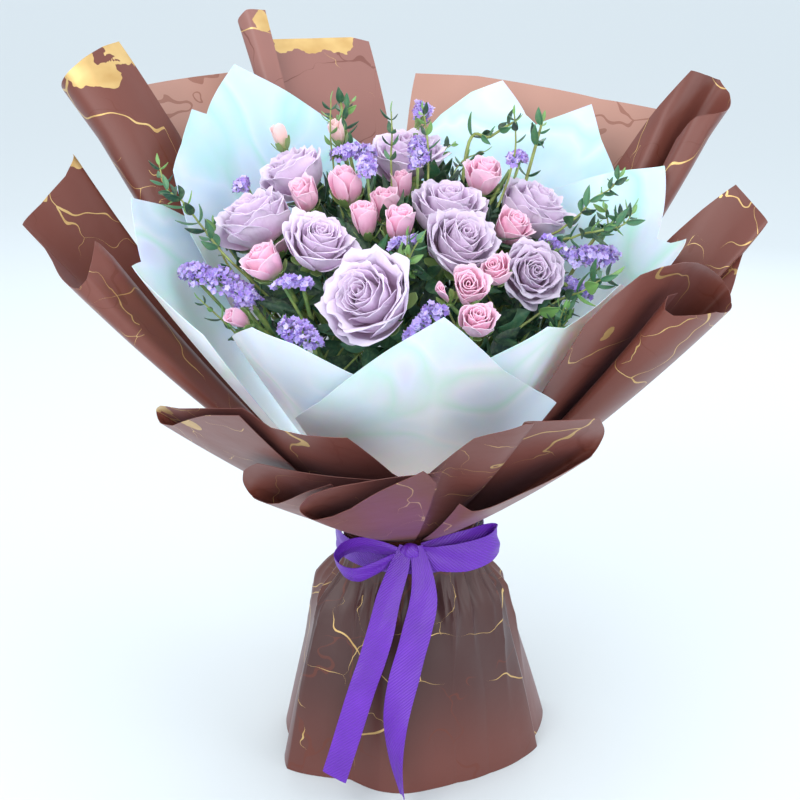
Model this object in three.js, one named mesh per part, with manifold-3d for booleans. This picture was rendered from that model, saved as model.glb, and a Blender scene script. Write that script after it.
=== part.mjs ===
// A hand-tied bouquet of mauve roses, pink spray roses, statice and leafy
// sprigs, wrapped in pearl film and marbled brown film and tied with a ribbon.
// Millimetres, +Z up. The bunch stands on its cut stem ends and on the hem of
// the skirt; the stem axis is the Z axis and the front faces -Y.
// A bearing is an angle about Z in degrees: 0 is the front, 90 the right (+X).

import * as THREE from 'three';
import { mergeVertices } from 'three/addons/utils/BufferGeometryUtils.js';
import Module from 'manifold-3d';

const wasm = await Module();
wasm.setup();

const DEGREE = Math.PI / 180;
const GAP = 0.35;                 // air left between two pieces that touch

const TIE_HEIGHT = 182;           // where the stems and the films are bound
const NECK_LENGTH = 14;           // films run this far down under the ribbon
const DOME = new THREE.Vector3(0, 50, 290);   // centre of the ball of flowers

const WAIST_LEAN = 28;            // a film of this lean leaves the waist at
const WAIST_RADIUS = 25;          // this radius, and one that leans out more
const WAIST_PER_DEGREE = 0.66;    // leaves it this much further out a degree
const BOW = 7;                    // extra lean in degrees at the waist
const BOW_REACH = 330;            // and the reach at which it has gone
const FILM = 0.8;                 // thickness of a film

// ---------------------------------------------------------------- directions

const vec = (x, y, z) => new THREE.Vector3(x, y, z);

/** The unit vector at a bearing, tilted from straight up. */
function direction(bearing, tilt) {
  const b = bearing * DEGREE;
  const t = tilt * DEGREE;
  return vec(Math.sin(b) * Math.sin(t), -Math.cos(b) * Math.sin(t), Math.cos(t));
}

/** A point at a bearing and radius about the stem axis. */
function polar(bearing, radius, height) {
  return direction(bearing, 90).multiplyScalar(radius).setZ(height);
}

/** A repeatable random number in 0..1 for each seed. */
function chance(seed) {
  const value = Math.sin(seed * 127.1 + 11.7) * 43758.5453;
  return value - Math.floor(value);
}

// ------------------------------------------------------------- closed solids

/** A closed solid from points and triangles. */
function solid(points, triangles) {
  const shape = new THREE.BufferGeometry();
  const flat = points.flatMap((p) => [p.x, p.y, p.z]);
  shape.setAttribute('position', new THREE.Float32BufferAttribute(flat, 3));
  shape.setIndex(triangles.flat());
  return shape;
}

/** The normal of a grid of points at one of its corners. */
function gridNormal(grid, i, j) {
  const columns = grid.length - 1;
  const rows = grid[0].length - 1;
  const across = grid[Math.min(i + 1, columns)][j].clone().sub(grid[Math.max(i - 1, 0)][j]);
  const along = grid[i][Math.min(j + 1, rows)].clone().sub(grid[i][Math.max(j - 1, 0)]);
  return across.cross(along).normalize();
}

/** A sheet of even thickness over a grid of points, closed round its edge. */
function slab(grid, thickness) {
  const columns = grid.length;
  const rows = grid[0].length;
  const points = [];
  for (const side of [0.5, -0.5]) {
    for (let i = 0; i < columns; i += 1) {
      for (let j = 0; j < rows; j += 1) {
        const out = gridNormal(grid, i, j).multiplyScalar(side * thickness);
        points.push(grid[i][j].clone().add(out));
      }
    }
  }
  const front = (i, j) => i * rows + j;
  const back = (i, j) => columns * rows + i * rows + j;
  const triangles = [];
  for (let i = 0; i + 1 < columns; i += 1) {
    for (let j = 0; j + 1 < rows; j += 1) {
      triangles.push([front(i, j), front(i + 1, j), front(i + 1, j + 1)]);
      triangles.push([front(i, j), front(i + 1, j + 1), front(i, j + 1)]);
      triangles.push([back(i, j), back(i + 1, j + 1), back(i + 1, j)]);
      triangles.push([back(i, j), back(i, j + 1), back(i + 1, j + 1)]);
    }
  }
  const edge = [];
  for (let i = 0; i + 1 < columns; i += 1) edge.push([i, 0]);
  for (let j = 0; j + 1 < rows; j += 1) edge.push([columns - 1, j]);
  for (let i = columns - 1; i > 0; i -= 1) edge.push([i, rows - 1]);
  for (let j = rows - 1; j > 0; j -= 1) edge.push([0, j]);
  edge.forEach((from, k) => {
    const to = edge[(k + 1) % edge.length];
    triangles.push([front(...from), back(...from), back(...to)]);
    triangles.push([front(...from), back(...to), front(...to)]);
  });
  return solid(points, triangles);
}

/** A rod through a list of points, with a radius at each, cut level at its start if asked. */
function rod(path, radii, sides, levelCut = false) {
  const points = [];
  let across = vec(1, 0.3, 0);
  path.forEach((point, k) => {
    const next = path[Math.min(k + 1, path.length - 1)];
    const last = path[Math.max(k - 1, 0)];
    const along = next.clone().sub(last).normalize();
    across = across.clone().addScaledVector(along, -across.dot(along)).normalize();
    const third = along.clone().cross(across);
    for (let s = 0; s < sides; s += 1) {
      const turn = (2 * Math.PI * s) / sides;
      const corner = point.clone()
        .addScaledVector(across, radii[k] * Math.cos(turn))
        .addScaledVector(third, radii[k] * Math.sin(turn));
      const drop = levelCut && k === 0 ? (point.z - corner.z) / along.z : 0;
      points.push(corner.addScaledVector(along, drop));
    }
  });
  const triangles = [];
  const last = (path.length - 1) * sides;
  for (let s = 0; s < sides; s += 1) {
    const t = (s + 1) % sides;
    for (let k = 0; k < last; k += sides) {
      triangles.push([k + s, k + t, k + sides + t], [k + s, k + sides + t, k + sides + s]);
    }
    if (s > 1) triangles.push([0, s, s - 1], [last, last + s - 1, last + s]);
  }
  return solid(points, triangles);
}

/** A plain upright ring about the stem axis. */
function hoop(inner, outer, low, high, sides) {
  const profile = [[inner, low], [outer, low], [outer, high], [inner, high], [inner, low]];
  const ring = new THREE.LatheGeometry(profile.map(([r, z]) => new THREE.Vector2(r, z)), sides);
  ring.rotateX(90 * DEGREE);
  return ring;
}

/** Join closed solids into one. */
function fuse(shapes) {
  const joined = shapes.map((shape) => {
    const bare = new THREE.BufferGeometry();
    bare.setAttribute('position', shape.getAttribute('position').clone());
    if (shape.index) bare.setIndex(shape.index.clone());
    const merged = mergeVertices(bare, 1e-4);
    return new wasm.Manifold(new wasm.Mesh({
      numProp: 3,
      vertProperties: new Float32Array(merged.getAttribute('position').array),
      triVerts: new Uint32Array(merged.index.array),
    }));
  }).reduce((whole, piece) => whole.add(piece)).getMesh();
  const result = new THREE.BufferGeometry();
  result.setAttribute('position', new THREE.BufferAttribute(joined.vertProperties, 3));
  result.setIndex(new THREE.BufferAttribute(joined.triVerts, 1));
  return result;
}

// ------------------------------------------------------------------- flowers

// Each bloom stands at a bearing and tilt from the dome's centre, at a reach,
// and faces a bearing and tilt of its own.
const MAUVE_ROSES = [
  { name: 'mauve_rose_1', at: [-11, 61, 161], faces: [-6, 66], radius: 36 },
  { name: 'mauve_rose_2', at: [-34, 47, 152], faces: [5, 42], radius: 30 },
  { name: 'mauve_rose_3', at: [-66, 47, 163], faces: [-70, 24], radius: 30 },
  { name: 'mauve_rose_4', at: [-90, 32, 161], faces: [-75, 30], radius: 29 },
  { name: 'mauve_rose_5', at: [-173, 11, 148], faces: [0, 20], radius: 30 },
  { name: 'mauve_rose_6', at: [30, 23, 132], faces: [20, 22], radius: 31 },
  { name: 'mauve_rose_7', at: [18, 43, 138], faces: [25, 44], radius: 30 },
  { name: 'mauve_rose_8', at: [85, 37, 145], faces: [70, 30], radius: 31 },
  { name: 'mauve_rose_9', at: [42, 56, 144], faces: [20, 62], radius: 29 },
];

const PINK_ROSES = [
  { name: 'pink_spray_1', heads: [
    { at: [-45, 58, 163], faces: [-40, 62], radius: 14.5 },
    { at: [-52, 47, 140], faces: [-20, 40], radius: 11, bud: true }] },
  { name: 'pink_spray_2', heads: [{ at: [-60, 33, 150], faces: [-50, 40], radius: 14.5 }] },
  { name: 'pink_spray_3', heads: [{ at: [-60, 21, 142], faces: [-20, 20], radius: 14.5 }] },
  { name: 'pink_spray_4', heads: [
    { at: [-26, 34, 138], faces: [-20, 40], radius: 13 },
    { at: [-21, 23, 133], faces: [-10, 25], radius: 13 },
    { at: [-14, 8, 131], faces: [10, 10], radius: 12.5, bud: true },
    { at: [-5, 33, 137], faces: [10, 45], radius: 13.5 }] },
  { name: 'pink_spray_5', heads: [{ at: [79, 21, 146], faces: [10, 25], radius: 17 }] },
  { name: 'pink_spray_6', heads: [{ at: [57, 39, 135], faces: [40, 45], radius: 14.5 }] },
  { name: 'pink_spray_7', heads: [
    { at: [27, 53, 152], faces: [20, 45], radius: 12.5 },
    { at: [16, 59, 160], faces: [0, 60], radius: 14.5 },
    { at: [8, 61.5, 154], faces: [-22, 58], radius: 8.5, bud: true }] },
  { name: 'pink_spray_8', heads: [{ at: [16, 68, 168], faces: [10, 62], radius: 14 }] },
  { name: 'pink_bud_1', heads: [{ at: [-111, 19, 168], faces: [-60, 25], radius: 10, bud: true }] },
  { name: 'pink_bud_2', heads: [{ at: [-108, 33, 180], faces: [-100, 25], radius: 10, bud: true }] },
  { name: 'pink_bud_3', heads: [{ at: [-46, 71, 168], faces: [-30, 70], radius: 9, bud: true }] },
];

// A statice spray is a dense run of florets along a line of points, each a
// bearing, tilt and reach from the dome's centre.
const STATICE = [
  { name: 'statice_1', line: [[-65, 65, 176], [-56, 64, 164], [-48, 66, 158]], radius: 11, florets: 18 },
  { name: 'statice_2', line: [[-27, 71, 168], [-22, 68, 170]], radius: 10, florets: 9 },
  { name: 'statice_3', line: [[-36, 62, 160], [-31, 59, 156]], radius: 8, florets: 8 },
  { name: 'statice_4', line: [[-100, 20, 152], [-92, 10, 148]], radius: 10, florets: 11 },
  { name: 'statice_5', line: [[163, 26, 170], [142, 21, 158], [100, 10, 154]], radius: 7, florets: 13 },
  { name: 'statice_6', line: [[102, 28, 166], [96, 24, 162]], radius: 9, florets: 8 },
  { name: 'statice_7', line: [[66, 63, 172], [62, 55, 150], [60, 48, 141]], radius: 11, florets: 18 },
  { name: 'statice_8', line: [[1, 68, 162], [9, 66, 156]], radius: 8, florets: 9 },
];

const placeOf = (at) => DOME.clone().addScaledVector(direction(at[0], at[1]), at[2]);

/** Every ball that the flowers keep to, so that neighbours press flat. */
const BALLS = [];
MAUVE_ROSES.forEach((rose) => {
  BALLS.push({ owner: rose.name, group: rose.name, centre: placeOf(rose.at), radius: rose.radius });
});
PINK_ROSES.forEach((spray) => spray.heads.forEach((head, k) => {
  const group = spray.name + k;
  BALLS.push({ owner: spray.name, group, centre: placeOf(head.at), radius: head.radius });
}));
STATICE.forEach((spray) => spray.line.forEach((at) => {
  BALLS.push({ owner: spray.name, group: spray.name, centre: placeOf(at), radius: spray.radius });
}));

const PRESS_DEPTH = 6;            // how softly a ball yields to its neighbour
const PRESS_AIR = 1.2;            // room kept on each side of the dividing plane

/** Press a point of one ball back behind the planes that divide it from others. */
function press(point, ball) {
  const moved = point.clone();
  for (let pass = 0; pass < 2; pass += 1) {
    BALLS.filter((other) => other.group !== ball.group).forEach((other) => {
      const toward = other.centre.clone().sub(ball.centre);
      const distance = toward.length();
      toward.normalize();
      const divide = (distance ** 2 + ball.radius ** 2 - other.radius ** 2) / (2 * distance);
      const limit = divide - PRESS_AIR;
      const beyond = moved.clone().sub(ball.centre).dot(toward) - limit + PRESS_DEPTH;
      if (beyond > 0) {
        const kept = PRESS_DEPTH * (1 - Math.exp(-beyond / PRESS_DEPTH));
        moved.addScaledVector(toward, kept - beyond);
      }
    });
  }
  return moved;
}

/** The frame of a bloom: a matrix from its own axes, with Z the way it faces. */
function bloomFrame(centre, faces, roll) {
  const turn = new THREE.Quaternion()
    .setFromUnitVectors(vec(0, 0, 1), direction(faces[0], faces[1]));
  turn.multiply(new THREE.Quaternion().setFromAxisAngle(vec(0, 0, 1), roll * DEGREE));
  return new THREE.Matrix4().compose(centre, turn, vec(1, 1, 1));
}

// A ring of petals: how many, the half width of a petal in degrees, and its
// profile from root to lip as radius and height in parts of the bloom's radius.
const MAUVE_RINGS = [
  { count: 2, half: 84, profile: [[0.07, 0.04], [0.22, 0.64]] },
  { count: 3, half: 66, profile: [[0.10, -0.12], [0.58, 0.54]] },
  { count: 5, half: 46, profile: [[0.12, -0.36], [0.80, -0.02], [0.99, 0.32]] },
];
const PINK_RINGS = [
  { count: 3, half: 68, profile: [[0.16, -0.5], [0.96, 0.42]] },
];
const BUD_RINGS = [
  { count: 3, half: 62, profile: [[0.12, -0.6], [0.70, 0.0], [0.6, 0.80]] },
];
const PETAL_LEAN = 0.13;          // one edge of a petal lies outside the next
const LIP_DROP = 0.16;            // and its lip is rounded by this much

// The heart of a bloom, from its base up, as width and height in parts of the radius.
const MAUVE_HEART = [[0.12, -0.48], [0.24, -0.3], [0.17, 0.1], [0.04, 0.5]];
const PINK_HEART = [[0.14, -0.62], [0.26, -0.42], [0.46, 0.20], [0.20, 0.66]];
const BUD_HEART = [[0.12, -0.72], [0.28, -0.5], [0.34, 0.3], [0.06, 0.86]];
const HEART_SIDES = 4;

/** One petal of a ring, as a thin curved blade. */
function petal(ring, index, turn, radius, thickness, toWorld) {
  const grid = [];
  for (const side of [1, 0, -1]) {
    grid.push(ring.profile.map(([reach, height], j) => {
      const rise = j / (ring.profile.length - 1);
      const width = ring.half * (0.25 + 1.6 * rise - 0.95 * rise * rise);
      const angle = (turn + (360 * index) / ring.count + side * width) * DEGREE;
      const out = reach * radius * (1 + PETAL_LEAN * side);
      const up = radius * (height - LIP_DROP * side * side * rise);
      return toWorld(vec(out * Math.cos(angle), out * Math.sin(angle), up));
    }));
  }
  return slab(grid, thickness);
}

/** A whole bloom: its petals in rings round a small heart that they grow from. */
function bloom(head, ball, rings, heart, seed, thickness) {
  const frame = bloomFrame(ball.centre, head.faces, 360 * chance(seed));
  const toWorld = (point) => press(point.applyMatrix4(frame), ball);
  const radius = ball.radius;
  const shapes = [rod(
    heart.map(([, height]) => vec(0, 0, radius * height).applyMatrix4(frame)),
    heart.map(([width]) => radius * width),
    HEART_SIDES,
  )];
  rings.forEach((ring, level) => {
    for (let k = 0; k < ring.count; k += 1) {
      const turn = 47 * level + 12 * chance(seed + 9 * level + k);
      shapes.push(petal(ring, k, turn, radius, thickness, toWorld));
    }
  });
  return shapes;
}

/** Where a stem meets the underside of a bloom. */
function baseOf(centre, faces, radius, heart) {
  return centre.clone().addScaledVector(direction(faces[0], faces[1]), radius * heart[0][1] - GAP);
}

/** A spray of small roses, with short stalks where it has several heads. */
function pinkSpray(spray, seed) {
  const shapes = [];
  const balls = BALLS.filter((ball) => ball.owner === spray.name);
  spray.heads.forEach((head, k) => {
    const [rings, heart] = head.bud ? [BUD_RINGS, BUD_HEART] : [PINK_RINGS, PINK_HEART];
    shapes.push(...bloom(head, balls[k], rings, heart, seed + 5 * k, 0.7));
  });
  if (spray.heads.length > 1) {
    const fork = forkOf(spray);
    spray.heads.forEach((head, k) => {
      const heart = head.bud ? BUD_HEART : PINK_HEART;
      const top = baseOf(balls[k].centre, head.faces, balls[k].radius, heart)
        .addScaledVector(direction(head.faces[0], head.faces[1]), 2);
      shapes.push(rod([fork, top], [1.9, 1.6], 3));
    });
  }
  return fuse(shapes);
}

const FORK_DROP = 26;             // how far below its heads a spray forks

/** The point where a spray's stalks part. */
function forkOf(spray) {
  const balls = BALLS.filter((ball) => ball.owner === spray.name);
  const middle = balls.reduce((sum, ball) => sum.add(ball.centre), vec(0, 0, 0))
    .divideScalar(balls.length);
  const down = middle.clone().sub(vec(0, 0, TIE_HEIGHT)).normalize();
  return middle.addScaledVector(down, -FORK_DROP);
}

/** One statice spray: small cups all over a slim core. */
function statice(spray, seed) {
  const balls = BALLS.filter((ball) => ball.owner === spray.name);
  const path = balls.map((ball) => ball.centre);
  const line = new THREE.CatmullRomCurve3(path);
  const run = path[path.length - 1].clone().sub(path[0]).normalize();
  const ends = [path[0].clone().addScaledVector(run, -0.45 * spray.radius),
    path[path.length - 1].clone().addScaledVector(run, 0.45 * spray.radius)];
  const core = spray.radius * 0.5;
  const shapes = [rod([ends[0], ...path, ends[1]],
    [core * 0.5, ...path.map(() => core), core * 0.5], 5)];
  for (let k = 0; k < spray.florets; k += 1) {
    const along = (k + 0.5) / spray.florets;
    const centre = line.getPoint(along);
    const ball = { ...balls[Math.round(along * (balls.length - 1))], radius: spray.radius };
    const spin = new THREE.Quaternion().setFromAxisAngle(run, 2.4 * k);
    const side = vec(0, 0, 1).addScaledVector(run, -run.z).normalize().applyQuaternion(spin);
    const endwise = (along - 0.5) * 1.5;
    const out = side.addScaledVector(run, endwise ** 3).normalize();
    const top = centre.clone().addScaledVector(out, spray.radius * (0.86 + 0.12 * chance(seed + k)));
    const root = centre.clone().addScaledVector(out, core * 0.3);
    shapes.push(floret(root, press(top, ball), spray.radius * 0.36));
  }
  return fuse(shapes);
}

/** A floret: a three-sided funnel on a point that sinks into the core. */
function floret(root, top, width) {
  const along = top.clone().sub(root).normalize();
  const across = along.clone().cross(vec(0.3, 0.2, 1)).normalize();
  const points = [root];
  for (let k = 0; k < 3; k += 1) {
    points.push(top.clone().addScaledVector(across, width));
    across.applyAxisAngle(along, 120 * DEGREE);
  }
  return solid(points, [[0, 2, 1], [0, 3, 2], [0, 1, 3], [1, 2, 3]]);
}

// -------------------------------------------------------------- leafy sprigs

// A sprig runs from its fork in the flowers to its tip, both a bearing, tilt
// and reach from the dome's centre, with pairs of narrow leaves. Its stem may
// swing some degrees round the tie to pass the flower stems.
const SPRIGS = [
  { name: 'sprig_1', from: [-74, 57, 150], to: [-81, 60, 190], pairs: 4 },
  { name: 'sprig_2', from: [-50, 78, 146], to: [-60, 79, 166], pairs: 3 },
  { name: 'sprig_3', from: [-130, 22, 150], to: [-140, 24, 196], pairs: 5 },
  { name: 'sprig_4', from: [120, 18, 152], to: [112, 26, 186], pairs: 4, swing: 16 },
  { name: 'sprig_5', from: [108, 34, 165], to: [116, 34, 206], pairs: 4 },
  { name: 'sprig_6', from: [78, 56, 152], to: [82, 55, 196], pairs: 5 },
  { name: 'sprig_7', from: [42, 74, 152], to: [50, 72, 172], pairs: 3 },
  { name: 'sprig_8', from: [-2, 52, 128], to: [-1, 50, 158], pairs: 3, swing: 24 },
  { name: 'sprig_9', from: [-36, 78, 150], to: [-42, 77, 162], pairs: 3, swing: 12 },
];
const LEAF = { length: 20, width: 7.4, thick: 1.2 };
const SPRIG_RING = 19.0;            // sprigs pass the tie on this radius
const FOOT_RING = 44;             // and stand on this one
const SPRIG_RADIUS = 1.8;

/** A narrow leaf from its root: a keeled blade, widest before its middle. */
function leaf(root, along, side, length) {
  const out = along.clone().cross(side).normalize();
  const width = LEAF.width * (length / LEAF.length) * 0.5;
  const middle = root.clone().addScaledVector(along, length * 0.42);
  const points = [
    root,
    middle.clone().addScaledVector(side, width),
    middle.clone().addScaledVector(out, LEAF.thick),
    middle.clone().addScaledVector(side, -width),
    root.clone().addScaledVector(along, length),
  ];
  return solid(points, [[0, 2, 1], [0, 3, 2], [4, 1, 2], [4, 2, 3], [0, 1, 3], [4, 3, 1]]);
}

/** Push a point out of every ball, for what grows between the flowers. */
function clearOf(point, air) {
  const moved = point.clone();
  for (let pass = 0; pass < 3; pass += 1) {
    BALLS.forEach((ball) => {
      const away = moved.clone().sub(ball.centre);
      const room = ball.radius * 1.02 + air;
      if (away.length() < room) {
        moved.copy(ball.centre).addScaledVector(away.normalize(), room);
      }
    });
  }
  return moved;
}

/** The lean that the innermost film leaves free at each bearing. */
const WRAP_ROOM = [[-180, 25], [-130, 25], [-105, 26], [-92, 29.5], [-80, 31.5], [-66, 28],
  [-50, 29], [-20, 31], [20, 31], [50, 29.5], [80, 28.5], [100, 31], [110, 28], [120, 25], [180, 25]];

/** Draw a point in until it stands inside the wrapping. */
function within(point) {
  const bearing = Math.atan2(point.x, -point.y) / DEGREE;
  const next = WRAP_ROOM.findIndex(([angle]) => angle >= bearing);
  const [from, to] = [WRAP_ROOM[Math.max(next - 1, 0)], WRAP_ROOM[Math.max(next, 1)]];
  const part = (bearing - from[0]) / (to[0] - from[0] || 1);
  const lean = THREE.MathUtils.lerp(from[1], to[1], part);
  const room = WAIST_RADIUS - 2 + Math.max(0, point.z - TIE_HEIGHT) * Math.tan(lean * DEGREE);
  const reach = Math.hypot(point.x, point.y);
  const share = Math.min(1, room / reach);
  return vec(point.x * share, point.y * share, point.z);
}

/** The straight run of a stem below the flowers, in a spiral round the axis. */
function spiralFoot(top, tieRadius, footRadius, swing) {
  const bearing = Math.atan2(top.x, -top.y) / DEGREE + swing;
  const reach = Math.hypot(top.x, top.y);
  const twist = Math.acos(Math.min(1, tieRadius / reach)) / DEGREE;
  const below = Math.acos(Math.min(1, tieRadius / footRadius)) / DEGREE;
  return [polar(bearing - twist - below, footRadius, 0), polar(bearing - twist, tieRadius, TIE_HEIGHT)];
}

/** One leafy sprig with its stem down to the foot. */
function sprig(spec, seed) {
  const fork = placeOf(spec.from);
  const tip = placeOf(spec.to);
  const [foot, tie] = spiralFoot(fork, SPRIG_RING, FOOT_RING, spec.swing || 0);
  const shapes = [];
  const path = [foot, tie, tie.clone().lerp(fork, 0.5), fork, fork.clone().lerp(tip, 0.5), tip]
    .map((point, k) => (k > 2 ? within(clearOf(point, 2)) : point));
  const radii = [SPRIG_RADIUS, SPRIG_RADIUS, SPRIG_RADIUS, 1.2, 1.0, 0.6];
  shapes.push(rod(path, radii, 3, true));
  const run = path[5].clone().sub(path[3]).normalize();
  for (let k = 0; k < spec.pairs; k += 1) {
    const part = (k + 0.3) / spec.pairs;
    const root = part < 0.5 ? path[3].clone().lerp(path[4], part * 2)
      : path[4].clone().lerp(path[5], part * 2 - 1);
    const across = vec(0, 0, 1).cross(run).normalize();
    across.applyAxisAngle(run, (k % 2 ? 90 : 0) * DEGREE + 0.5 * chance(seed + k));
    for (const hand of [1, -1]) {
      const along = run.clone().multiplyScalar(0.62).addScaledVector(across, hand * 0.78).normalize();
      const side = along.clone().cross(run).normalize();
      const length = LEAF.length * (1.05 - 0.35 * part) * (0.85 + 0.3 * chance(seed + 3 * k + hand));
      const free = within(clearOf(root.clone().addScaledVector(along, length), 1));
      const way = free.sub(root).normalize();
      shapes.push(leaf(root.clone().addScaledVector(way, 0.3), way, side, length));
    }
  }
  const end = run.clone();
  const side = end.clone().cross(vec(0, 0, 1)).normalize();
  shapes.push(leaf(path[5].clone().addScaledVector(end, -1.5), end, side, LEAF.length * 0.6));
  return fuse(shapes);
}

// --------------------------------------------------------------------- stems

const STEM_RADIUS = 3.3;
const STEM_SPACING = 4.4;         // stems touch where they are bound
const SLOTS_PER_RING = 6;

/** Where a flower's own stalk ends below it, and how wide its calyx is. */
function stalkEnd(name) {
  const rose = MAUVE_ROSES.find((each) => each.name === name);
  if (rose) {
    const end = baseOf(placeOf(rose.at), rose.faces, rose.radius, MAUVE_HEART);
    return { end, faces: rose.faces, calyx: 6.5 };
  }
  const spray = PINK_ROSES.find((each) => each.name === name);
  if (spray && spray.heads.length === 1) {
    const head = spray.heads[0];
    const heart = head.bud ? BUD_HEART : PINK_HEART;
    return { end: baseOf(placeOf(head.at), head.faces, head.radius, heart), faces: head.faces, calyx: 3 };
  }
  const tuft = STATICE.find((each) => each.name === name);
  const top = spray ? forkOf(spray) : placeOf(tuft.line[tuft.line.length - 1]);
  const down = top.clone().sub(vec(0, 0, TIE_HEIGHT)).normalize();
  return { end: top.addScaledVector(down, spray ? -2.6 : -tuft.radius - 2.5), calyx: 0 };
}

// The flowers of each stem: the first ends it and the others branch from it.
const STEM_GROUPS = [
  ...MAUVE_ROSES.map((rose) => [rose.name]),
  ['pink_spray_1', 'pink_bud_3', 'pink_spray_2', 'pink_bud_2'],
  ['pink_spray_4', 'pink_spray_3', 'pink_bud_1'],
  ['pink_spray_7', 'pink_spray_8', 'pink_spray_6'],
  ['pink_spray_5'],
  ['statice_1', 'statice_3', 'statice_2'],
  ['statice_5', 'statice_4', 'statice_6'],
  ['statice_7', 'statice_8'],
];
const FORK_PART = 0.5;            // branches leave this far up from the tie

/** All the flower stems, bound into one bunch that stands on its cut ends. */
function stems() {
  const spread = ({ end }) => Math.hypot(end.x, end.y);
  const bearingOf = ({ end }) => Math.atan2(end.x, -end.y);
  const tops = STEM_GROUPS.map(([first, ...others]) => ({ ...stalkEnd(first), others }))
    .sort((one, two) => spread(one) - spread(two));
  const shapes = [];
  let placed = 0;
  for (let ring = 0; placed < tops.length; ring += 1) {
    const room = ring ? SLOTS_PER_RING * ring : 1;
    const group = tops.slice(placed, placed + room);
    placed += group.length;
    group.sort((one, two) => bearingOf(one) - bearingOf(two)).forEach((top, k) => {
      shapes.push(...stem(top, ring, (360 * k) / group.length));
    });
  }
  return fuse(shapes);
}

/** One stem with its branches: foot, tie, the bend below its flower, the calyx. */
function stem(top, ring, slot) {
  const tie = polar(slot - 180 - 80, STEM_SPACING * ring, TIE_HEIGHT);
  const foot = ring ? polar(slot - 180 - 150, 11 * ring, 0) : vec(0, 0, 0);
  const fork = tie.clone().lerp(top.end, FORK_PART);
  const shapes = top.others.map((name) => {
    const branch = stalkEnd(name);
    if (!branch.calyx) return rod([fork, branch.end], [1.7, 1.4], 3);
    const below = branch.end.clone()
      .addScaledVector(direction(branch.faces[0], branch.faces[1]), -5);
    return rod([fork, below, branch.end], [1.7, 1.7, branch.calyx], 3);
  });
  const path = [foot, tie];
  const radii = [STEM_RADIUS, STEM_RADIUS];
  if (top.calyx) {
    const down = direction(top.faces[0], top.faces[1]).negate();
    path.push(top.end.clone().addScaledVector(down, 24));
    radii.push(STEM_RADIUS * 0.8);
  } else {
    path.push(fork);
    radii.push(STEM_RADIUS * 0.8);
  }
  path.push(top.end);
  radii.push(top.calyx || 1.8);
  shapes.push(rod(path, radii, 4, true));
  return shapes;
}

const BINDING_RADIUS = 21.4;
const BINDING_THICK = 1.6;

/** The string round the bundle, a plain ring. */
function binding() {
  return hoop(BINDING_RADIUS, BINDING_RADIUS + BINDING_THICK, TIE_HEIGHT - 12, TIE_HEIGHT - 2, 16);
}

// --------------------------------------------------------------------- films

// A film is a fan of straight ribs from the waist to its rim. Each rim point
// is a bearing, a lean from upright and a reach from the waist in millimetres.
const PEARL_FILMS = {
  pearl_back_left: [[-92, 29, 240], [-100, 28.6, 283], [-109, 28.2, 298], [-118, 28, 320],
    [-122.6, 28, 315], [-136, 28, 350], [-149, 28, 325], [-160, 28, 300], [-172, 27.6, 268]],
  pearl_left: [[-108, 31, 246], [-100, 32, 266], [-91, 33.4, 281], [-84, 34.4, 262],
    [-78, 35.4, 247], [-70, 36.4, 254], [-60, 36.4, 236], [-50, 36.4, 214]],
  pearl_front_left: [[-64, 30.5, 165], [-54, 32, 194], [-45, 33, 207], [-36, 34, 221],
    [-26, 34, 212], [-15, 34, 192], [-4, 34, 176], [6, 34, 158]],
  pearl_front: [[-34, 37, 150], [-22, 37, 176], [-13, 37, 202], [-4, 37, 230], [5, 37, 256],
    [12, 37, 230], [19, 37, 206], [30, 37, 182], [42, 37, 160]],
  pearl_front_right: [[8, 33.6, 185], [19, 34, 207], [29, 34, 225], [36, 33, 216],
    [46, 31.8, 222], [58, 31.2, 230], [70, 31, 218], [80, 30.8, 196]],
  pearl_right: [[140, 26.6, 246], [129, 27.4, 257], [118, 29.2, 275], [107, 32.2, 293],
    [102.6, 33.4, 270], [98, 34, 246], [92, 34.8, 249], [86, 35.2, 258], [78, 34.6, 250],
    [68, 33.8, 232], [58, 33.4, 210]],
  pearl_back_right: [[116, 31.8, 255], [120, 31.2, 275], [128, 30.4, 300], [133.4, 30, 324],
    [139, 29.6, 315], [146.6, 29.4, 304], [150, 29.4, 311], [157.6, 29.6, 338],
    [165, 29.8, 328], [172, 29.8, 310], [180, 29.8, 282], [188, 29.6, 256]],
};
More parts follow.
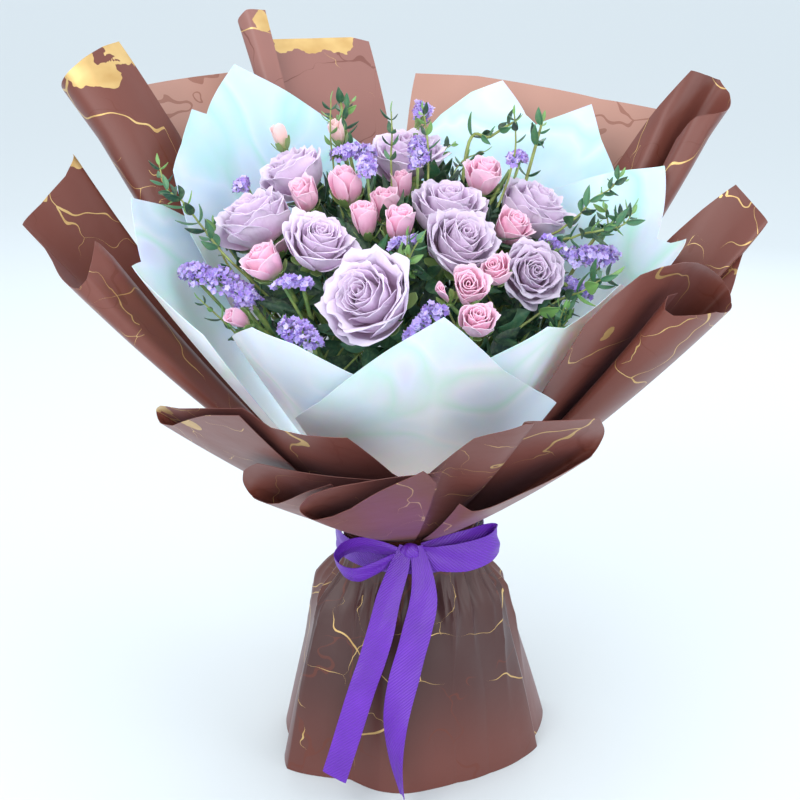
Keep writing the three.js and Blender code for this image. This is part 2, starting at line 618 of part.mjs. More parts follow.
const BROWN_FILMS = {
  brown_back_left: [[-151, 38, 285], [-146.4, 38, 377], [-137, 38, 374], [-128, 38.4, 372],
    [-117, 39, 374], [-110, 38.4, 376], [-107.4, 36.4, 379], [-109, 34.2, 383],
    [-112.6, 32.8, 386], [-116.4, 32.2, 387], [-118.2, 32, 330], [-120, 32, 304], [-118, 32, 272]],
  brown_left: [[-106, 42.2, 238], [-108.4, 41.8, 270], [-108.1, 41.6, 308], [-107.9, 41.4, 334],
    [-104.7, 42.6, 323], [-98, 44.8, 315], [-90.5, 46, 310], [-90, 45.8, 293], [-86.5, 45.4, 281],
    [-79, 44.8, 267], [-74.5, 43.6, 261], [-74, 42, 262], [-77, 40.2, 267], [-80, 38.7, 274],
    [-85, 38.8, 257]],
  brown_top_left: [[-179, 34.2, 226], [-175.6, 34.2, 310], [-172.4, 34.2, 387], [-169, 34.2, 391],
    [-161, 34.2, 390], [-153.6, 34.2, 390], [-149.6, 34, 398], [-146.6, 32.8, 402],
    [-147.6, 31.5, 406], [-151.4, 31.4, 405]],
  brown_top_right: [[187, 36, 215], [181, 36, 297], [178.6, 36, 364], [166.4, 36, 362],
    [154, 36.2, 355], [141, 37, 349], [128, 38.4, 349], [121, 39, 322], [116, 39.4, 262]],
  brown_upper_right: [[129, 33, 236], [125.4, 33, 282], [117, 33.2, 367], [116.4, 34.8, 370],
    [117, 37, 375], [114.4, 37.8, 368], [110, 37, 353], [107.6, 35.4, 344], [109, 33.8, 334],
    [112, 33.9, 316]],
  brown_right: [[105, 36.6, 215], [102.6, 36.8, 246], [100, 37.8, 280], [98, 39, 306],
    [94.5, 41, 302], [90.5, 43, 298], [91, 43.4, 272], [89, 43.8, 262], [86.5, 44.2, 254],
    [82, 44.6, 242]],
  brown_roll_right: [[38, 34.8, 225], [41, 35, 245], [45, 35.3, 262], [50, 35.6, 266],
    [56, 36.2, 268], [63, 37, 265], [70, 38.6, 260], [74, 40.6, 257], [75, 42.2, 254],
    [71, 43.4, 252], [64, 43.6, 254], [57, 42.8, 258], [53, 41.4, 252], [51.6, 40, 246],
    [51, 38.8, 246], [52, 37.9, 251], [57, 37.8, 250]],
  brown_front_right: [[3, 48.2, 158], [9.5, 48.2, 212], [16, 48.8, 232], [17.8, 48.4, 228],
    [17.4, 47.2, 218], [22, 46.8, 213], [27, 47, 211], [33, 47.4, 208], [37.8, 48.6, 186],
    [37.5, 50, 172], [34, 50.8, 169], [29, 51.8, 162], [23, 52.8, 150], [17, 54, 138],
    [13, 54.4, 138], [9.5, 53.4, 150]],
  brown_front_left: [[4, 44, 100], [-5, 44, 130], [-13, 44, 178], [-22, 44, 176], [-30, 44, 178],
    [-33, 44.2, 199], [-43, 45.2, 192], [-53, 46.6, 186], [-61, 48, 184], [-65.4, 49.6, 177],
    [-64, 50.6, 173], [-57.5, 49.6, 174], [-50, 47.9, 183], [-41, 46.6, 195], [-32, 45.8, 202]],
  brown_front_fold: [[-4, 47, 112], [-8, 47, 139], [-20, 47.4, 141], [-30, 47.8, 143],
    [-38, 48.4, 146], [-43.5, 50.4, 138], [-47, 53, 123], [-47, 54.8, 112], [-42, 55.2, 109],
    [-36, 54.2, 115], [-30, 53, 127], [-24, 51.6, 140], [-17, 50.2, 152]],
  brown_front_flap: [[5, 50.4, 150], [5, 50.4, 187], [-3, 50.4, 176], [-10, 51, 168],
    [-16, 52, 162], [-21, 53.6, 154], [-24, 55.8, 140], [-22, 57, 132], [-17, 56, 138],
    [-12, 54.8, 152], [-5.4, 53.4, 182], [1.5, 52.4, 210], [4, 52.2, 184]],
};
const FILM_ROWS = [0, 0.32, 1];   // rows of facets, in parts of the reach

/** The point of a film's rib at a bearing and lean, so far from the waist. */
function ribPoint(bearing, lean, reach) {
  const waist = WAIST_RADIUS + (lean - WAIST_LEAN) * WAIST_PER_DEGREE;
  const bowed = lean + BOW * Math.max(0, 1 - reach / BOW_REACH);
  return polar(bearing, waist, TIE_HEIGHT).addScaledVector(direction(bearing, bowed), reach);
}

/** One film, with its neck that the ribbon grips. */
function film(rim) {
  const curve = new THREE.CatmullRomCurve3(rim.map(([bearing, lean]) => vec(bearing, lean, 0)));
  const steps = rim.length - 1;
  const grid = [];
  for (let i = 0; i <= steps; i += 1) {
    const { x: bearing, y: lean } = curve.getPoint(i / steps);
    const place = (i / steps) * (rim.length - 1);
    const from = Math.min(Math.floor(place), rim.length - 2);
    const reach = THREE.MathUtils.lerp(rim[from][2], rim[from + 1][2], place - from);
    const rib = [ribPoint(bearing, lean, 0).setZ(TIE_HEIGHT - NECK_LENGTH)];
    FILM_ROWS.forEach((part) => rib.push(ribPoint(bearing, lean, reach * part)));
    grid.push(rib);
  }
  return slab(grid, FILM);
}

// The skirt's hem: bearing and radius on the floor.
const SKIRT_FRONT = [[-74, 97], [-64, 100], [-50, 84], [-37, 72], [-17, 75], [-3, 75], [15, 71],
  [29, 70], [50, 77], [70, 90], [81, 98], [88, 96]];
const SKIRT_BACK = [[68, 82], [81, 90], [95, 101], [108, 112], [117, 117], [130, 104], [150, 92],
  [180, 88], [210, 91], [235, 98], [246, 101], [254, 100], [266, 94], [278, 88], [290, 84]];
const SKIRT_TOP = TIE_HEIGHT - 2;
const HEM_HEIGHT = 0.15;          // middle of the film, whose edge just meets the floor
const PLEAT = 0.6;                // depth of the gathers at the waist
const SKIRT_ROWS = [0, 0.11, 0.4, 1];   // rows of facets from the waist down

/** A skirt film from its gathered top down to its hem. */
function skirt(hem, waist, pleats) {
  const curve = new THREE.CatmullRomCurve3(hem.map(([bearing, radius]) => vec(bearing, radius, 0)));
  const steps = 2 * pleats;
  const grid = [];
  for (let i = 0; i <= steps; i += 1) {
    const { x: bearing, y: foot } = curve.getPoint(i / steps);
    grid.push(SKIRT_ROWS.map((down) => {
      const spread = Math.max(0, down - SKIRT_ROWS[1]) / (1 - SKIRT_ROWS[1]);
      const gather = (i % 2 ? PLEAT : -PLEAT) * (1 + 5 * spread) * (1 - spread);
      const radius = THREE.MathUtils.lerp(waist, foot, spread ** 0.85) + gather;
      return polar(bearing, radius, THREE.MathUtils.lerp(SKIRT_TOP, HEM_HEIGHT, down));
    }).reverse());
  }
  return slab(grid, FILM);
}

// -------------------------------------------------------------------- ribbon

const BAND_RADIUS = 52.8;
const BAND_HEIGHT = 17;
const RIBBON = 0.8;               // thickness of the ribbon
const RIBBON_WIDTH = 25;
const LOOP_WIDTH = 15;            // a loop is drawn in at the knot
const KNOT = vec(0, -57, 178);

// Each run of ribbon is a list of centre points with the direction of its width.
const BOW_LEFT = [[-6, -57, 179], [-20, -55, 181], [-34, -49, 181], [-46, -48, 178], [-51, -54, 173],
  [-46, -62, 169], [-36, -66, 168], [-24, -64, 171], [-6, -59, 177]];
const BOW_RIGHT = [[6, -57, 179], [20, -60, 177], [38, -58, 177], [54, -50, 178], [61, -40, 180],
  [50, -44, 180], [34, -52, 180], [5, -58, 178]];
const TAIL_LEFT = [[-3, -59, 180], [-8, -64, 170], [-15, -69.5, 152], [-23, -77, 120],
  [-34, -83.5, 88], [-45, -88, 51], [-53, -91, 25]];
const TAIL_RIGHT = [[4, -59, 180], [8, -64.5, 170], [9, -70, 151], [3, -77.5, 125], [-6, -85, 90],
  [-11, -90, 55], [-5, -95, 12]];

/** A run of ribbon through points, its width along a way that may turn. */
function ribbonRun(points, width, wideFrom, wideTo) {
  const path = points.map(([x, y, z]) => vec(x, y, z));
  const grid = path.map((point, k) => {
    const next = path[Math.min(k + 1, path.length - 1)];
    const along = next.clone().sub(path[Math.max(k - 1, 0)]).normalize();
    const wide = wideFrom.clone().lerp(wideTo, k / (path.length - 1));
    wide.addScaledVector(along, -wide.dot(along)).normalize();
    return [point.clone().addScaledVector(wide, -width / 2), point.clone().addScaledVector(wide, width / 2)];
  });
  return slab(grid, RIBBON);
}

/** The whole ribbon: a band round the waist, a bow of two loops and two tails. */
function ribbon() {
  const high = TIE_HEIGHT - 2;
  const band = hoop(BAND_RADIUS, BAND_RADIUS + RIBBON, high - BAND_HEIGHT, high, 20);
  const knot = new THREE.SphereGeometry(9, 6, 4);
  knot.scale(0.85, 0.6, 1);
  knot.translate(KNOT.x, KNOT.y, KNOT.z);
  return fuse([
    band, knot,
    ribbonRun(BOW_LEFT, LOOP_WIDTH, vec(0.1, 0, 1), vec(-0.1, 0, 1)),
    ribbonRun(BOW_RIGHT, LOOP_WIDTH, vec(-0.1, 0, 1), vec(0.1, 0, 1)),
    ribbonRun(TAIL_LEFT, RIBBON_WIDTH, vec(1, 0, 0), vec(1, 0.1, 0)),
    ribbonRun(TAIL_RIGHT, RIBBON_WIDTH, vec(1, 0.1, 0), vec(0.4, -1, 0)),
  ]);
}

// ------------------------------------------------------------------ assembly

function material(color, roughness, metalness = 0) {
  return new THREE.MeshStandardMaterial({ color, roughness, metalness, side: THREE.FrontSide });
}

const LOOKS = {
  mauve: () => material(0xcdbcd6, 0.6),
  pink: () => material(0xf2a9bd, 0.6),
  violet: () => material(0x8a6fd8, 0.7),
  leaf: () => material(0x3f7048, 0.55),
  stem: () => material(0x7f9a52, 0.6),
  string: () => material(0xb9a37c, 0.85),
  pearl: () => material(0xdfeff2, 0.3),
  brown: () => material(0x8a5a4b, 0.4),
  ribbon: () => material(0x6923be, 0.55),
};

const bouquet = new THREE.Group();

function add(name, geometry, look) {
  const mesh = new THREE.Mesh(geometry, LOOKS[look]());
  mesh.name = name;
  bouquet.add(mesh);
}

MAUVE_ROSES.forEach((rose, k) => {
  const ball = BALLS.find((each) => each.owner === rose.name);
  add(rose.name, fuse(bloom(rose, ball, MAUVE_RINGS, MAUVE_HEART, 20 * k, 0.8)), 'mauve');
});
PINK_ROSES.forEach((spray, k) => add(spray.name, pinkSpray(spray, 301 + 20 * k), 'pink'));
STATICE.forEach((spray, k) => add(spray.name, statice(spray, 600 + 40 * k), 'violet'));
SPRIGS.forEach((spec, k) => add(spec.name, sprig(spec, 900 + 30 * k), 'leaf'));
add('stems', stems(), 'stem');
add('binding', binding(), 'string');
Object.entries(PEARL_FILMS).forEach(([name, rim]) => add(name, film(rim), 'pearl'));
Object.entries(BROWN_FILMS).forEach(([name, rim]) => add(name, film(rim), 'brown'));
add('skirt_front', skirt(SKIRT_FRONT, 50.4, 10), 'brown');
add('skirt_back', skirt(SKIRT_BACK, 47.8, 12), 'brown');
add('ribbon', ribbon(), 'ribbon');

export default bouquet;
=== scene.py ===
import functools
import math
import random

import bmesh
import bpy
import numpy as np
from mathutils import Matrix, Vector


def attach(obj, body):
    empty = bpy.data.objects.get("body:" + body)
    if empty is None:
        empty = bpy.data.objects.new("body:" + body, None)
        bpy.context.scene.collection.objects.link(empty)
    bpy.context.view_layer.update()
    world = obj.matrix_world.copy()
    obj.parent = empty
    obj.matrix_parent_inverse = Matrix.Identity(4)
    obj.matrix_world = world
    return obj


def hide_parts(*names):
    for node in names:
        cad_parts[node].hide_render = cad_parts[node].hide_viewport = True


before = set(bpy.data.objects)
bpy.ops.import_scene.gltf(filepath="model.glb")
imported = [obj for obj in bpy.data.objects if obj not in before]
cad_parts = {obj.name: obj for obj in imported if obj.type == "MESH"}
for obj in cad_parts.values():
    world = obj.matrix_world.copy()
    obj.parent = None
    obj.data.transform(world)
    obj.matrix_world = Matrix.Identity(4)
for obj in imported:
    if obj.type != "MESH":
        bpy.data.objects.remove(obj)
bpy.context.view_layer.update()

# All lengths below are in millimetres until a mesh is made. A bearing is an angle
# about Z in degrees: 0 is the front (-Y), 90 the right (+X). These values are the
# part's own, written out again.
MM = 0.001
TIE_HEIGHT = 182
NECK_LENGTH = 14
TIE_MIDDLE = np.array([0.0, 0.0, TIE_HEIGHT])
DOME = np.array([0.0, 50.0, 290.0])
WAIST_LEAN = 28
WAIST_RADIUS = 25
WAIST_PER_DEGREE = 0.66
BOW = 7
BOW_REACH = 330


# ------------------------------------------------------------------ directions

def direction(bearing, tilt):
    """Unit vectors at a bearing, tilted from straight up."""
    b = np.radians(bearing)
    t = np.radians(tilt)
    return np.stack(np.broadcast_arrays(np.sin(b) * np.sin(t), -np.cos(b) * np.sin(t), np.cos(t)), axis=-1)


def polar(bearing, radius, height):
    """Points at a bearing and radius about the stem axis."""
    b = np.radians(bearing)
    return np.stack(np.broadcast_arrays(np.sin(b) * radius, -np.cos(b) * radius, height), axis=-1)


def unit(vector):
    """A vector, or each of a list of them, at length one."""
    length = np.linalg.norm(vector, axis=-1, keepdims=True)
    return vector / np.maximum(length, 1e-9)


def smooth(low, high, value):
    """A soft step from 0 at low to 1 at high."""
    part = np.clip((value - low) / (high - low), 0, 1)
    return part * part * (3 - 2 * part)


def lerp(a, b, part):
    """The value or point a part of the way from a to b."""
    return a + (b - a) * part


def chance(seed):
    """A repeatable random number in 0..1 for each seed."""
    value = math.sin(seed * 127.1 + 11.7) * 43758.5453
    return value - math.floor(value)


def rgb(red, green, blue):
    """A screen colour in 0..255 as the linear colour that a material takes."""
    share = np.array([red, green, blue]) / 255
    return np.where(share <= 0.04045, share / 12.92, ((share + 0.055) / 1.055) ** 2.4)


# ---------------------------------------------------------------------- meshes

# Edges that bend by more than this many degrees stay sharp.
SHARP_BEND = 55

# The faces of every sheet and tube come from bmesh operators. A formula then sets where
# their points lie.


def numbered(faces, number_of):
    """The corners of each face as point numbers, from its lowest on."""
    result = []
    for face in faces:
        corners = [number_of(vert.co) for vert in face.verts]
        start = corners.index(min(corners))
        result.append(corners[start:] + corners[:start])
    return np.array(result)


def level_of(face):
    """The height of a level face, or None for a face that rises."""
    heights = {round(vert.co.z) for vert in face.verts}
    return heights.pop() if len(heights) == 1 else None


@functools.cache
def sheet_faces(columns, rows):
    """The front, back and rim faces of a sheet with so many points each way."""
    cells = bmesh.new()
    bmesh.ops.create_grid(cells, x_segments=rows - 1, y_segments=columns - 1, size=1)
    flat = cells.verts[:] + cells.edges[:] + cells.faces[:]
    lifted = bmesh.ops.extrude_face_region(cells, geom=flat, use_keep_orig=True)["geom"]
    back = [part for part in lifted if isinstance(part, bmesh.types.BMVert)]
    bmesh.ops.translate(cells, vec=(0, 0, 1), verts=back)
    bmesh.ops.recalc_face_normals(cells, faces=cells.faces[:])

    def number_of(place):
        """The number of the grid's point at a place, front side first."""
        column = round((place.y + 1) / 2 * (columns - 1))
        row = round((place.x + 1) / 2 * (rows - 1))
        return (round(place.z) * columns + column) * rows + row

    sides = [[face for face in cells.faces if level_of(face) == level] for level in (0, 1, None)]
    result = [numbered(side, number_of) for side in sides]
    cells.free()
    return result


@functools.cache
def tube_faces(rings, sides):
    """The end and wall faces of a closed tube with so many rings of points."""
    cells = bmesh.new()
    bmesh.ops.create_circle(cells, segments=sides, radius=1)
    bmesh.ops.spin(cells, geom=cells.verts[:] + cells.edges[:], axis=(0, 0, 1), dvec=(0, 0, 1),
                   steps=rings - 1)
    bmesh.ops.holes_fill(cells, edges=cells.edges[:], sides=sides)
    bmesh.ops.recalc_face_normals(cells, faces=cells.faces[:])

    def number_of(place):
        """The number of the tube's point at a place, ring by ring."""
        turn = (math.atan2(place.y, place.x) - math.pi / 2) * sides / (2 * math.pi)
        return round(place.z) * sides + round(turn) % sides

    ends = [face for face in cells.faces if level_of(face) is not None]
    walls = [face for face in cells.faces if level_of(face) is None]
    result = [numbered(ends, number_of), numbered(walls, number_of)]
    cells.free()
    return result


class Shape:
    """Gathers surfaces into one mesh, with a colour and a UV place at each point."""

    def __init__(self):
        self.points = []
        self.colours = []
        self.uvs = []
        self.faces = []
        self.slots = []
        self.count = 0

    def add(self, points, blocks, colours=(1, 1, 1), uvs=(0, 0)):
        """Add points, and blocks of faces between them, each with its material slot."""
        points = np.reshape(points, (-1, 3))
        total = len(points)
        self.points.append(points)
        self.colours.append(np.broadcast_to(np.reshape(colours, (-1, 3)), (total, 3)))
        self.uvs.append(np.broadcast_to(np.reshape(uvs, (-1, 2)), (total, 2)))
        for faces, slot in blocks:
            self.faces.append(faces + self.count)
            self.slots.append(np.full(len(faces), slot))
        self.count += total

    def sheet(self, grid, thickness, slots=(0, 0), colours=(1, 1, 1), uvs=(0, 0), back=None):
        """A sheet over a grid of points, closed round its edge. back is its back's colours."""
        columns, rows = grid.shape[:2]
        normal = unit(np.cross(np.gradient(grid, axis=0), np.gradient(grid, axis=1)))
        colours = np.broadcast_to(colours, (columns, rows, 3))
        back = colours if back is None else back
        uvs = np.broadcast_to(uvs, (columns, rows, 2))
        front_faces, back_faces, rim_faces = sheet_faces(columns, rows)
        self.add(
            np.stack([grid + normal * thickness / 2, grid - normal * thickness / 2]),
            [(front_faces, slots[0]), (back_faces, slots[1]), (rim_faces, slots[0])],
            np.stack([colours, back]),
            np.stack([uvs, uvs]),
        )

    def tube(self, path, radii, sides=8, slot=0, colour=(1, 1, 1)):
        """A round tube along a path, closed at its ends."""
        path = np.asarray(path, float)
        ways = unit(np.gradient(path, axis=0))
        turns = np.linspace(0, 2 * math.pi, sides, endpoint=False)
        across = np.array([1.0, 0.3, 0.1])
        rings = []
        for point, way, radius in zip(path, ways, np.broadcast_to(radii, len(path))):
            across = unit(across - way * across.dot(way))
            third = np.cross(way, across)
            ring = np.outer(np.cos(turns), across) + np.outer(np.sin(turns), third)
            rings.append(point + radius * ring)
        self.add(rings, [(faces, slot) for faces in tube_faces(len(path), sides)], colour)

    def copies(self, points, blocks, frames, places, colours):
        """A small mesh set down many times, each with its own axes and place."""
        moved = np.einsum("kij,nj->kni", frames, points) + places[:, None, :]
        starts = (np.arange(len(places)) * len(points))[:, None, None]
        many = [((faces[None] + starts).reshape(-1, faces.shape[1]), 0) for faces in blocks]
        self.add(moved, many, colours)

    def build(self, name, materials):
        """Make the Blender object. Edges that bend by more than SHARP_BEND stay sharp."""
        mesh = bpy.data.meshes.new(name)
        points = np.concatenate(self.points) * MM
        corners = np.concatenate([block.ravel() for block in self.faces])
        sizes = np.concatenate([np.full(len(block), block.shape[1]) for block in self.faces])
        starts = np.concatenate([[0], np.cumsum(sizes)[:-1]])
        mesh.vertices.add(len(points))
        mesh.vertices.foreach_set("co", points.ravel())
        mesh.loops.add(len(corners))
        mesh.loops.foreach_set("vertex_index", corners)
        mesh.polygons.add(len(sizes))
        mesh.polygons.foreach_set("loop_start", starts)
        mesh.polygons.foreach_set("material_index", np.concatenate(self.slots))
        mesh.update(calc_edges=True)
        tint = mesh.attributes.new("tint", "FLOAT_COLOR", "POINT")
        colours = np.concatenate(self.colours)
        colours = np.concatenate([colours, np.ones((len(colours), 1))], axis=1)
        tint.data.foreach_set("color", colours.ravel())
        layer = mesh.uv_layers.new(name="UVMap")
        layer.data.foreach_set("uv", np.concatenate(self.uvs)[corners].ravel())
        mesh.shade_smooth()
        mesh.set_sharp_from_angle(angle=math.radians(SHARP_BEND))
        for material in materials:
            mesh.materials.append(material)
        piece = bpy.data.objects.new(name, mesh)
        bpy.context.scene.collection.objects.link(piece)
        return piece


def curve_through(points, steps):
    """A smooth curve through points (uniform Catmull-Rom), with so many steps a span."""
    points = np.asarray(points, float)
    padded = np.concatenate([[2 * points[0] - points[1]], points, [2 * points[-1] - points[-2]]])
    result = []
    for k in range(len(points) - 1):
        a, b, c, d = padded[k:k + 4]
        for t in np.linspace(0, 1, steps, endpoint=False):
            result.append(0.5 * (2 * b + (c - a) * t + (2 * a - 5 * b + 4 * c - d) * t * t
                                 + (3 * b - 3 * c + d - a) * t ** 3))
    result.append(points[-1])
    return np.array(result)


# ------------------------------------------------------------------- materials

def new_material(name, roughness, **sockets):
    """A Principled material with its fixed values, and its node tree."""
    material = bpy.data.materials.new(name)
    material.use_nodes = True
    shader = material.node_tree.nodes["Principled BSDF"]
    shader.inputs["Roughness"].default_value = roughness
    for key, value in sockets.items():
        shader.inputs[key.replace("_", " ")].default_value = value
    return material, material.node_tree, shader


def set_inputs(tree, made, inputs):
    """Set a node's inputs by name, with _ for a space, or by i and a number, as in i0."""
    for key, value in inputs.items():
        place_in = int(key[1:]) if key[0] == "i" and key[1:].isdigit() else key.replace("_", " ")
        target = made.inputs[place_in]
        if isinstance(value, bpy.types.NodeSocket):
            tree.links.new(value, target)
        else:
            target.default_value = value


def node(tree, kind, **inputs):
    """Add a node, each of its inputs a value or a socket."""
    made = tree.nodes.new(kind)
    set_inputs(tree, made, inputs)
    return made


def math_node(tree, operation, *values):
    """A Math node's result."""
    made = node(tree, "ShaderNodeMath", **{f"i{k}": value for k, value in enumerate(values)})
    made.operation = operation
    return made.outputs[0]


def vector_math(tree, operation, **inputs):
    """A Vector Math node's result. Its inputs depend on the operation, so that comes first."""
    made = tree.nodes.new("ShaderNodeVectorMath")
    made.operation = operation
    set_inputs(tree, made, inputs)
    return made.outputs[0]


def mix(tree, factor, one, two, blend="MIX"):
    """Mix two colours, each a socket or a linear colour."""
    made = tree.nodes.new("ShaderNodeMix")
    made.data_type = "RGBA"
    made.blend_type = blend
    for socket, value in ((made.inputs[0], factor), (made.inputs[6], one), (made.inputs[7], two)):
        if isinstance(value, bpy.types.NodeSocket):
            tree.links.new(value, socket)
        elif np.ndim(value):
            socket.default_value = (*value, 1)
        else:
            socket.default_value = value
    return made.outputs[2]


def band(tree, value, low, high):
    """0 below low, 1 above high, soft between."""
    made = node(tree, "ShaderNodeMapRange", Value=value, From_Min=low, From_Max=high)
    made.interpolation_type = "SMOOTHSTEP"
    return made.outputs[0]


def noise(tree, vector, scale, detail=2.0, roughness=0.5, distortion=0.0):
    """A Noise node's value."""
    made = node(tree, "ShaderNodeTexNoise", Vector=vector, Scale=scale, Detail=detail,
                Roughness=roughness, Distortion=distortion)
    return made.outputs[0]


def bump(tree, shader, height, strength, distance):
    """Raise the surface by a height, with the distance in metres."""
    made = node(tree, "ShaderNodeBump", Height=height, Strength=strength, Distance=distance)
    tree.links.new(made.outputs[0], shader.inputs["Normal"])


def place(tree):
    """Object coordinates, in metres."""
    return tree.nodes.new("ShaderNodeTexCoord").outputs["Object"]


def uv_place(tree, across, along):
    """The piece's own UV coordinates, stretched."""
    made = node(tree, "ShaderNodeMapping", Vector=tree.nodes.new("ShaderNodeTexCoord").outputs["UV"])
    made.inputs["Scale"].default_value = (across, along, 1)
    return made.outputs[0]


def tint_of(tree):
    """The colour that the mesh gives at each point."""
    made = tree.nodes.new("ShaderNodeAttribute")
    made.attribute_name = "tint"
    return made.outputs["Color"]


def new_group(name, inputs, outputs):
    """A shader node group: itself, its inputs' sockets inside it, and its outputs'."""
    group = bpy.data.node_groups.new(name, "ShaderNodeTree")
    for socket, kind in inputs.items():
        group.interface.new_socket(socket, in_out="INPUT", socket_type=kind)
    for socket in outputs:
        group.interface.new_socket(socket, in_out="OUTPUT", socket_type=FLOAT)
    given = group.nodes.new("NodeGroupInput").outputs
    result = group.nodes.new("NodeGroupOutput").inputs
    return group, given, result


def make_patches():
    """Shader group: fine grain over the surface, and the soft patches where it is high."""
    group, given, result = new_group(
        "soft_patches", {"Vector": VECTOR, "Scale": FLOAT, "Detail": FLOAT, "Roughness": FLOAT,
                         "Low": FLOAT, "High": FLOAT}, ("Grain", "Mask"))
    grain = noise(group, given["Vector"], given["Scale"], given["Detail"], given["Roughness"])
    group.links.new(grain, result["Grain"])
    group.links.new(band(group, grain, given["Low"], given["High"]), result["Mask"])
    return group


def make_marbling():
    """Shader group: thin broken lines in a cracked net that wanders, as a mask."""
    group, given, result = new_group(
        "marbled_veins", {"Vector": VECTOR, "Scale": FLOAT, "Width": FLOAT, "Warp": FLOAT,
                          "Drift": VECTOR}, ("Lines",))
    where = given["Vector"]
    scale = given["Scale"]
    wander = node(group, "ShaderNodeTexNoise", Vector=where, Scale=math_node(group, "MULTIPLY", scale, 1.3),
                  Detail=3.0).outputs[1]
    shift = vector_math(group, "SUBTRACT", i0=wander, i1=given["Drift"])
    shift = vector_math(group, "SCALE", i0=shift, Scale=math_node(group, "DIVIDE", given["Warp"], scale))
    moved = vector_math(group, "ADD", i0=where, i1=shift)
    net = node(group, "ShaderNodeTexVoronoi", Vector=moved, Scale=scale)
    net.feature = "DISTANCE_TO_EDGE"
    breaks = noise(group, where, math_node(group, "MULTIPLY", scale, 2.2), 1.0)
    width = math_node(group, "MULTIPLY", band(group, breaks, 0.35, 0.75), given["Width"])
    group.links.new(math_node(group, "LESS_THAN", net.outputs[0], width), result["Lines"])
    return group


FLOAT = "NodeSocketFloat"
VECTOR = "NodeSocketVector"
PATCHES = make_patches()
MARBLING = make_marbling()


def placed_group(tree, group, **inputs):
    """A group's outputs, in a material and with its values there."""
    made = tree.nodes.new("ShaderNodeGroup")
    made.node_tree = group
    set_inputs(tree, made, inputs)
    return made.outputs


def patches(tree, where, scale, detail, roughness, low, high):
    """Grain, and the soft patches where it rises from low to high."""
    outputs = placed_group(tree, PATCHES, Vector=where, Scale=scale, Detail=detail,
                           Roughness=roughness, Low=low, High=high)
    return outputs["Grain"], outputs["Mask"]


def marbling(tree, where, scale, width, warp, drift):
    """A mask of broken veins, so many to a metre, as wide as a share of their cells."""
    outputs = placed_group(tree, MARBLING, Vector=where, Scale=scale, Width=width, Warp=warp,
                           Drift=(0.5 + drift, 0.5, 0.5))
    return outputs["Lines"]


def petal_material(name, roughness, sheen):
    """Petals: their own tint, fine long veins and a soft velvety sheen."""
    material, tree, shader = new_material(
        name, roughness, Subsurface_Weight=0.4, Subsurface_Scale=0.006,
        Subsurface_Radius=(1.0, 0.7, 0.9), Sheen_Weight=sheen, Sheen_Roughness=0.5,
        Specular_IOR_Level=0.3)
    veins, streaks = patches(tree, uv_place(tree, 34, 2.2), 1.0, 3.0, 0.6, 0.42, 0.75)
    pale = patches(tree, place(tree), 120, 2.0, 0.5, 0.45, 0.8)[1]
    colour = mix(tree, math_node(tree, "MULTIPLY", streaks, 0.10), tint_of(tree),
                 rgb(200, 150, 196), "MULTIPLY")
    colour = mix(tree, math_node(tree, "MULTIPLY", pale, 0.12), colour, rgb(255, 250, 252))
    tree.links.new(colour, shader.inputs["Base Color"])
    bump(tree, shader, veins, 0.25, 0.0004)
    return material


def leaf_material():
    """Leaves: their own tint, blotched, with a waxy gloss."""
    material, tree, shader = new_material(
        "leaf_green", 0.46, Subsurface_Weight=0.06, Subsurface_Scale=0.002, Coat_Weight=0.15,
        Coat_Roughness=0.35)
    blotch = patches(tree, place(tree), 260, 3.0, 0.6, 0.4, 0.75)[1]
    colour = mix(tree, math_node(tree, "MULTIPLY", blotch, 0.35), tint_of(tree), rgb(120, 150, 96))
    tree.links.new(colour, shader.inputs["Base Color"])
    bump(tree, shader, noise(tree, uv_place(tree, 6, 22), 1.0, 2.0), 0.35, 0.0004)
    return material


def statice_material():
    """Statice: thin papery violet cups with ribs."""
    material, tree, shader = new_material(
        "statice_florets", 0.75, Subsurface_Weight=0.15, Subsurface_Scale=0.002, Sheen_Weight=0.4)
    grain = noise(tree, place(tree), 900, 2.0)
    colour = mix(tree, math_node(tree, "MULTIPLY", grain, 0.3), tint_of(tree), rgb(222, 208, 250))
    tree.links.new(colour, shader.inputs["Base Color"])
    bump(tree, shader, grain, 0.4, 0.0006)
    return material


def crumple(tree, shader):
    """The brown film's slight unevenness."""
    bump(tree, shader, noise(tree, place(tree), 22, 3.0, 0.45), 0.25, 0.006)


